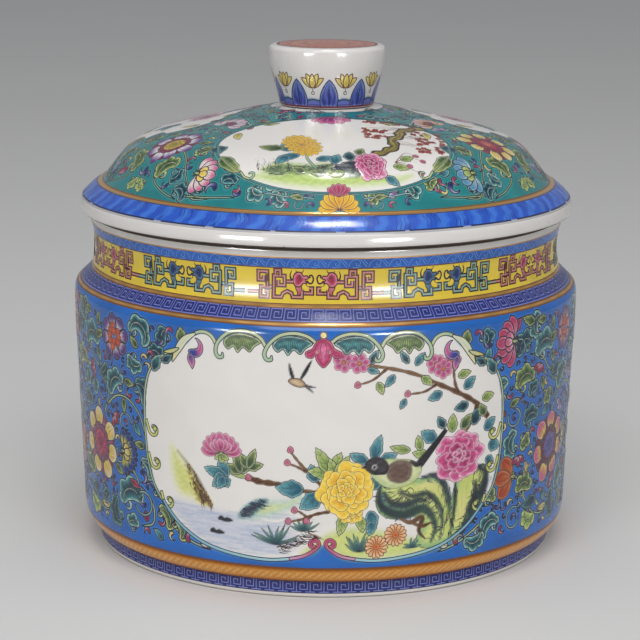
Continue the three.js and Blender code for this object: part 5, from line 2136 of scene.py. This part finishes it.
@dataclass(frozen=True)
class Glaze:
    """A glazed finish: its colour, or None for the piece's own paint, its gloss and its unevenness."""
    name: str
    colour: Optional[Colour]
    pooling: float
    specks: float
    gloss: float
    bump: float

    def build(self, surface: bpy.types.NodeTree) -> bpy.types.Material:
        """Make the material from the glaze surface group."""
        material, tree, body = new_material(self.name)
        if self.colour is None:
            colour = tree.node("ShaderNodeAttribute", attribute_name="paint").outputs["Color"]
            gilt = tree.node("ShaderNodeAttribute", attribute_name="gilt").outputs["Fac"]
            tree.plug(gilt, body["Metallic"])
        else:
            colour = shader(self.colour)
        given = tree.node("ShaderNodeGroup", node_tree=surface, Colour=colour, Pooling=self.pooling,
                          Specks=self.specks, Gloss=self.gloss).outputs
        bump = tree.node("ShaderNodeBump", Strength=self.bump, Distance=BUMP, Height=given["Height"])
        for source, target in ((given["Colour"], "Base Color"), (given["Roughness"], "Roughness"),
                               (bump.outputs["Normal"], "Normal")):
            tree.plug(source, body[target])
        return material


@dataclass(frozen=True)
class Enamel:
    """The finish of drawn lines: one colour, with the shine of fired enamel or of gilding."""
    name: str
    colour: Colour
    metallic: float
    roughness: float = 0.3

    def build(self) -> bpy.types.Material:
        """Make the material."""
        material, tree, body = new_material(self.name)
        for target, value in (("Base Color", shader(self.colour)), ("Roughness", self.roughness),
                              ("Metallic", self.metallic)):
            tree.plug(value, body[target])
        return material


class Finishes:
    """All finishes of the jar, built once."""

    def __init__(self) -> None:
        """Build the shared group and every material."""
        surface = glaze_surface()
        self.bodies = [glaze.build(surface) for glaze in (
            Glaze("white_glaze", TONE.white, pooling=0.06, specks=0.5, gloss=0.09, bump=0.06),
            Glaze("white_glaze_inside", (208, 203, 196), pooling=0.1, specks=0.7, gloss=0.12, bump=0.1),
            Glaze("unglazed_foot", (190, 174, 152), pooling=0.25, specks=0.8, gloss=0.62, bump=0.4),
            # dark brown painted shade for the gap where the lid sits on the jar
            Glaze("worn_joint", (74, 62, 52), pooling=0.4, specks=0.6, gloss=0.55, bump=0.3))]
        enamel = Glaze("painted_enamel", None, pooling=0.06, specks=0.0, gloss=0.12, bump=0.05)
        self.enamel = enamel.build(surface)
        self.inks = {ink: Enamel(f"{ink.name.lower()}_line", ink.value,
                                 0.5 if ink is Ink.GILT else 0.0).build() for ink in Ink}


def skin_step() -> float:
    return 0.34


class Assembly:
    """What jar, lid and knob share: finishes, body and slot, and how their pieces are dressed."""
    body: str = "jar"
    slot: str = "jar_glaze"

    def __init__(self, finishes: Finishes) -> None:
        """Keep the finishes."""
        self.finishes = finishes
        self.pieces: list[bpy.types.Object] = []

    def dress(self, piece: Optional[bpy.types.Object], *materials: bpy.types.Material) -> None:
        """Give a piece its materials and body, and keep it on the list; None is left out."""
        if piece is None:
            return
        for material in materials:
            piece.data.materials.append(material)
        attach(piece, self.body)
        self.pieces.append(piece)

    def turn(self, name: str, node: str, outline: Array, sections: int,
             rule: Callable[[Array, Array], Array]) -> None:
        """Build the turned body that stands for a node of the solid.

        Args:
            name: the piece's name.
            node: the node that it replaces.
            outline: the closed outline.
            sections: facets round.
            rule: gives the coat of faces from their radius and height.
        """
        body = turned(name, outline, sections)
        self.dress(body, *self.finishes.bodies)
        centres = np.empty(len(body.data.polygons) * 3, np.float32)
        body.data.polygons.foreach_get("center", centres)
        x, y, z = centres.reshape(-1, 3).T / MM
        body.data.polygons.foreach_set("material_index", rule(np.hypot(x, y), z).astype(np.int32))
        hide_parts(node)

    def draw_lines(self, prefix: str, canvas: Canvas, wrap: Wrap, lift: float,
                   edges: Sequence[float]) -> None:
        """Make a piece for the lines of each ink, cut at the given canvas x values where there are many.

        Args:
            prefix: start of the pieces' names.
            canvas: the painting.
            wrap: how it lies.
            lift: height over the form.
            edges: lowest x, places to cut the dark lines, and highest x.
        """
        for ink in Ink:
            spans = list(zip(edges, edges[1:])) if ink is Ink.DARK else [(edges[0], edges[-1])]
            for k, span in enumerate(spans):
                name = f"{prefix}_{ink.name.lower()}_lines" + (f"_{k + 1}" if len(spans) > 1 else "")
                self.dress(line_work(name, canvas, wrap, ink, lift, span), self.finishes.inks[ink])


class Jar(Assembly):
    """The jar: its turned body, its painted skin in six patches, and the line work."""

    def build(self) -> None:
        """Build and dress every piece of the jar."""
        form = JarForm()

        def coat(r: Array, z: Array) -> Array:
            """Bare under the standing ring, plain inside, dark painted shade at the lip's top edge under
            the lid, and white outside.
            """
            # above 101.9 mm the lip's top edge, under the lid's rim, gets the dark painted shade
            places = [(z < 0.35) & (r > 64), (r < 70.9) & (z > 8), z > 101.9]
            return np.select(places, [Coat.BARE, Coat.INSIDE, Coat.WORN], Coat.WHITE)

        outline = np.vstack([form.underside(), form.outside()[1:], form.inside()])
        self.turn("jar_turned_body", "jar_body", outline, FACETS, coat)
        painting = JarPainting(form)
        painting.paint()
        wrap, step, patches = painting.wrap(), skin_step(), 6
        # One row on each side of the foot's corner, and closer rows on the flat shoulder.
        up = np.unique(np.concatenate([np.arange(1.0, 5.15, step), [5.19, 5.21], np.arange(5.5, 81.3, step),
                                       np.arange(81.3, 85.6, step * 0.75), np.arange(85.6, 101.4, step)]))
        edges = np.linspace(-ROUND / 2, ROUND / 2, patches + 1)
        for k in range(patches):
            across = np.linspace(edges[k], edges[k + 1], int(ROUND / patches / step) + 1)
            self.dress(skin(f"jar_painted_skin_{k + 1}", painting.canvas, wrap, across, up, SKIN_LIFT,
                            (True, True)), self.finishes.enamel)
        self.draw_lines("jar", painting.canvas, wrap, LINE_LIFT, edges[::2])


class Lid(Assembly):
    """The lid: its turned body, its painted skin in four patches, and the line work."""
    body = "lid"
    slot = "lid_glaze"

    def build(self) -> None:
        """Build and dress every piece of the lid."""
        form = LidForm()

        def coat(r: Array, z: Array) -> Array:
            """Dark painted shade at the rim's lower edge, bare on the seat and flange foot, plain inside,
            and white outside.
            """
            hollow = (r < 64.9) & (z < 129.6) & (z < 108 + (64.9 - r) * 0.6)
            # the rim's lower edge, above the seat, gets the dark painted shade of the joint
            places = [(z < 103.7) & (r > 74), (z < 103.2) & (r > 64), hollow]
            return np.select(places, [Coat.WORN, Coat.BARE, Coat.INSIDE], Coat.WHITE)

        self.turn("lid_turned_body", "lid", np.vstack([form.underside(), form.outside()]), FACETS, coat)
        painting = LidPainting(form)
        painting.paint()
        wrap, step, middle, rim = painting.wrap(), skin_step(), 46.0, 80.0
        inner = np.arange(16.0, middle, step)
        turns = np.linspace(-math.pi, math.pi, int(2 * math.pi * middle / step / 3) * 3 + 1)
        patches = [(turns, inner, (True, False))]
        third = np.linspace(-math.pi, -math.pi / 3, int(2 * math.pi * rim / step / 3) + 1)
        outer = np.arange(inner[-1], 84.6, step)
        patches += [(third + 2 * math.pi * k / 3, outer, (False, True)) for k in range(3)]
        for k, (turns, outs, tuck) in enumerate(patches):
            self.dress(skin(f"lid_painted_skin_{k + 1}", painting.canvas, wrap, turns, outs, SKIN_LIFT,
                            tuck), self.finishes.enamel)
        self.draw_lines("lid", painting.canvas, wrap, LINE_LIFT, (-90, 90))


class Knob(Assembly):
    """The knob: its turned body, its painted skin and the line work."""
    body = "lid"
    slot = "knob_glaze"

    def build(self) -> None:
        """Build and dress every piece of the knob."""
        form = KnobForm()
        self.turn("knob_turned_body", "knob", np.vstack([[(0, form.seat)], form.outside()]), FACETS // 2,
                  lambda r, z: np.full(r.shape, Coat.WHITE))
        painting = KnobPainting(form)
        painting.paint()
        wrap, step, half = painting.wrap(), 0.27, math.pi * KNOB_ARC
        across = np.linspace(-half, half, int(2 * half / step) + 1)
        up = np.linspace(0.05, painting.tall - 0.4, int(painting.tall / step))
        self.dress(skin("knob_painted_skin", painting.canvas, wrap, across, up, -0.03, (True, False)),
                   self.finishes.enamel)
        self.draw_lines("knob", painting.canvas, wrap, -0.005, (-half, half))


@dataclass
class Studio:
    """The floor, the lights and the camera, in millimetres from the jar's foot."""
    eye: tuple[float, float, float] = (-1.65, -685.0, 214.2)
    pitch: float = 12.13
    roll: float = 0.374
    sensor: float = 36.0
    focal: float = 2233.0 / 640 * 36
    aim: float = 80.0
    floor_reach: float = 6000.0
    sky: float = 0.36
    windows: float = 8.0
    lantern: float = 4.0
    fill: float = 12.0
    ceiling: float = 2.8

    def build(self) -> None:
        """Make everything of the studio."""
        self.camera()
        self.floor()
        world = bpy.data.worlds.new("pale_room")
        world.use_nodes = True
        back = world.node_tree.nodes["Background"].inputs
        back["Color"].default_value, back["Strength"].default_value = shader((238, 240, 244)), self.sky
        bpy.context.scene.world = world
        for name, azimuth, rise, size, power in (("window_left", -36.5, 2.0, (360.0, 220.0), self.windows),
                                                 ("window_right", 28.5, 2.0, (320.0, 220.0), self.windows),
                                                 ("lantern", 20.0, 84.0, (240.0, 200.0), self.lantern)):
            self.softbox(name, azimuth, rise, 1150.0, size, power).visible_diffuse = False
        self.softbox("front_fill", 0.0, 45.0, 1500.0, (1400.0, 700.0), self.fill)
        self.softbox("ceiling", 0.0, 76.0, 1300.0, (1200.0, 1200.0), self.ceiling)

    def camera(self) -> None:
        """Set the camera at the photograph's place, pitch and roll."""
        data = bpy.data.cameras.new("camera")
        data.lens, data.sensor_width, data.clip_start, data.clip_end = self.focal, self.sensor, 0.01, 20.0
        camera = link("camera", data)
        tilt = Matrix.Rotation(math.radians(90 - self.pitch), 4, "X")
        lean = Matrix.Rotation(math.radians(self.roll), 4, "Z")
        camera.matrix_world = Matrix.Translation(Vector(self.eye) * MM) @ (tilt @ lean)
        bpy.context.scene.camera = camera

    def floor(self) -> None:
        """Lay a wide pale floor with very faint mottling."""
        corners = np.array([(-1, -1, 0), (1, -1, 0), (1, 1, 0), (-1, 1, 0)]) * self.floor_reach
        piece = new_mesh("floor", corners, np.array([[0, 1, 2, 3]]))
        material, tree, body = new_material("pale_floor")
        noise = tree.node("ShaderNodeTexNoise", Scale=6.0,
                          Vector=tree.node("ShaderNodeTexCoord").outputs["Object"])
        shade = tree.node("ShaderNodeHueSaturation", Color=shader((225, 224, 222)),
                          Value=tree.maths("MULTIPLY_ADD", noise.outputs["Fac"], 0.04, 0.98))
        tree.plug(shade.outputs["Color"], body["Base Color"])
        tree.plug(0.75, body["Roughness"])
        piece.data.materials.append(material)

    def softbox(self, name: str, azimuth: float, rise: float, reach: float, size: tuple[float, float],
                power: float) -> bpy.types.Object:
        """Hang a soft lamp that faces the jar.

        Args:
            name: its name.
            azimuth: degrees round from the front to the right.
            rise: degrees up.
            reach: distance from the jar's middle.
            size: width and height.
            power: watts.

        Returns:
            The lamp.
        """
        data = bpy.data.lights.new(name, "AREA")
        data.shape, data.size, data.size_y, data.energy = "RECTANGLE", size[0] * MM, size[1] * MM, power
        lamp = link(name, data)
        a, r = math.radians(azimuth), math.radians(rise)
        way = Vector((math.sin(a) * math.cos(r), -math.cos(a) * math.cos(r), math.sin(r)))
        lamp.location = Vector((0, 0, self.aim * MM)) + way * reach * MM
        lamp.rotation_euler = way.to_track_quat("Z", "Y").to_euler()
        return lamp


def main() -> None:
    """Build the studio and the jar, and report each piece."""
    logging.basicConfig(level=logging.INFO, format="%(name)s: %(message)s")
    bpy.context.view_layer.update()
    bpy.context.scene.view_settings.view_transform = "Standard"
    Studio().build()
    finishes = Finishes()
    total = 0
    for assembly in (Jar(finishes), Lid(finishes), Knob(finishes)):
        assembly.build()
        for piece in assembly.pieces:
            triangles = len(piece.data.loops) - 2 * len(piece.data.polygons)
            total += triangles
            log.info("%s rides on %s, %d triangles", piece.name, assembly.body, triangles)
    log.info("%d triangles in all", total)


if __name__ == "__main__":
    main()
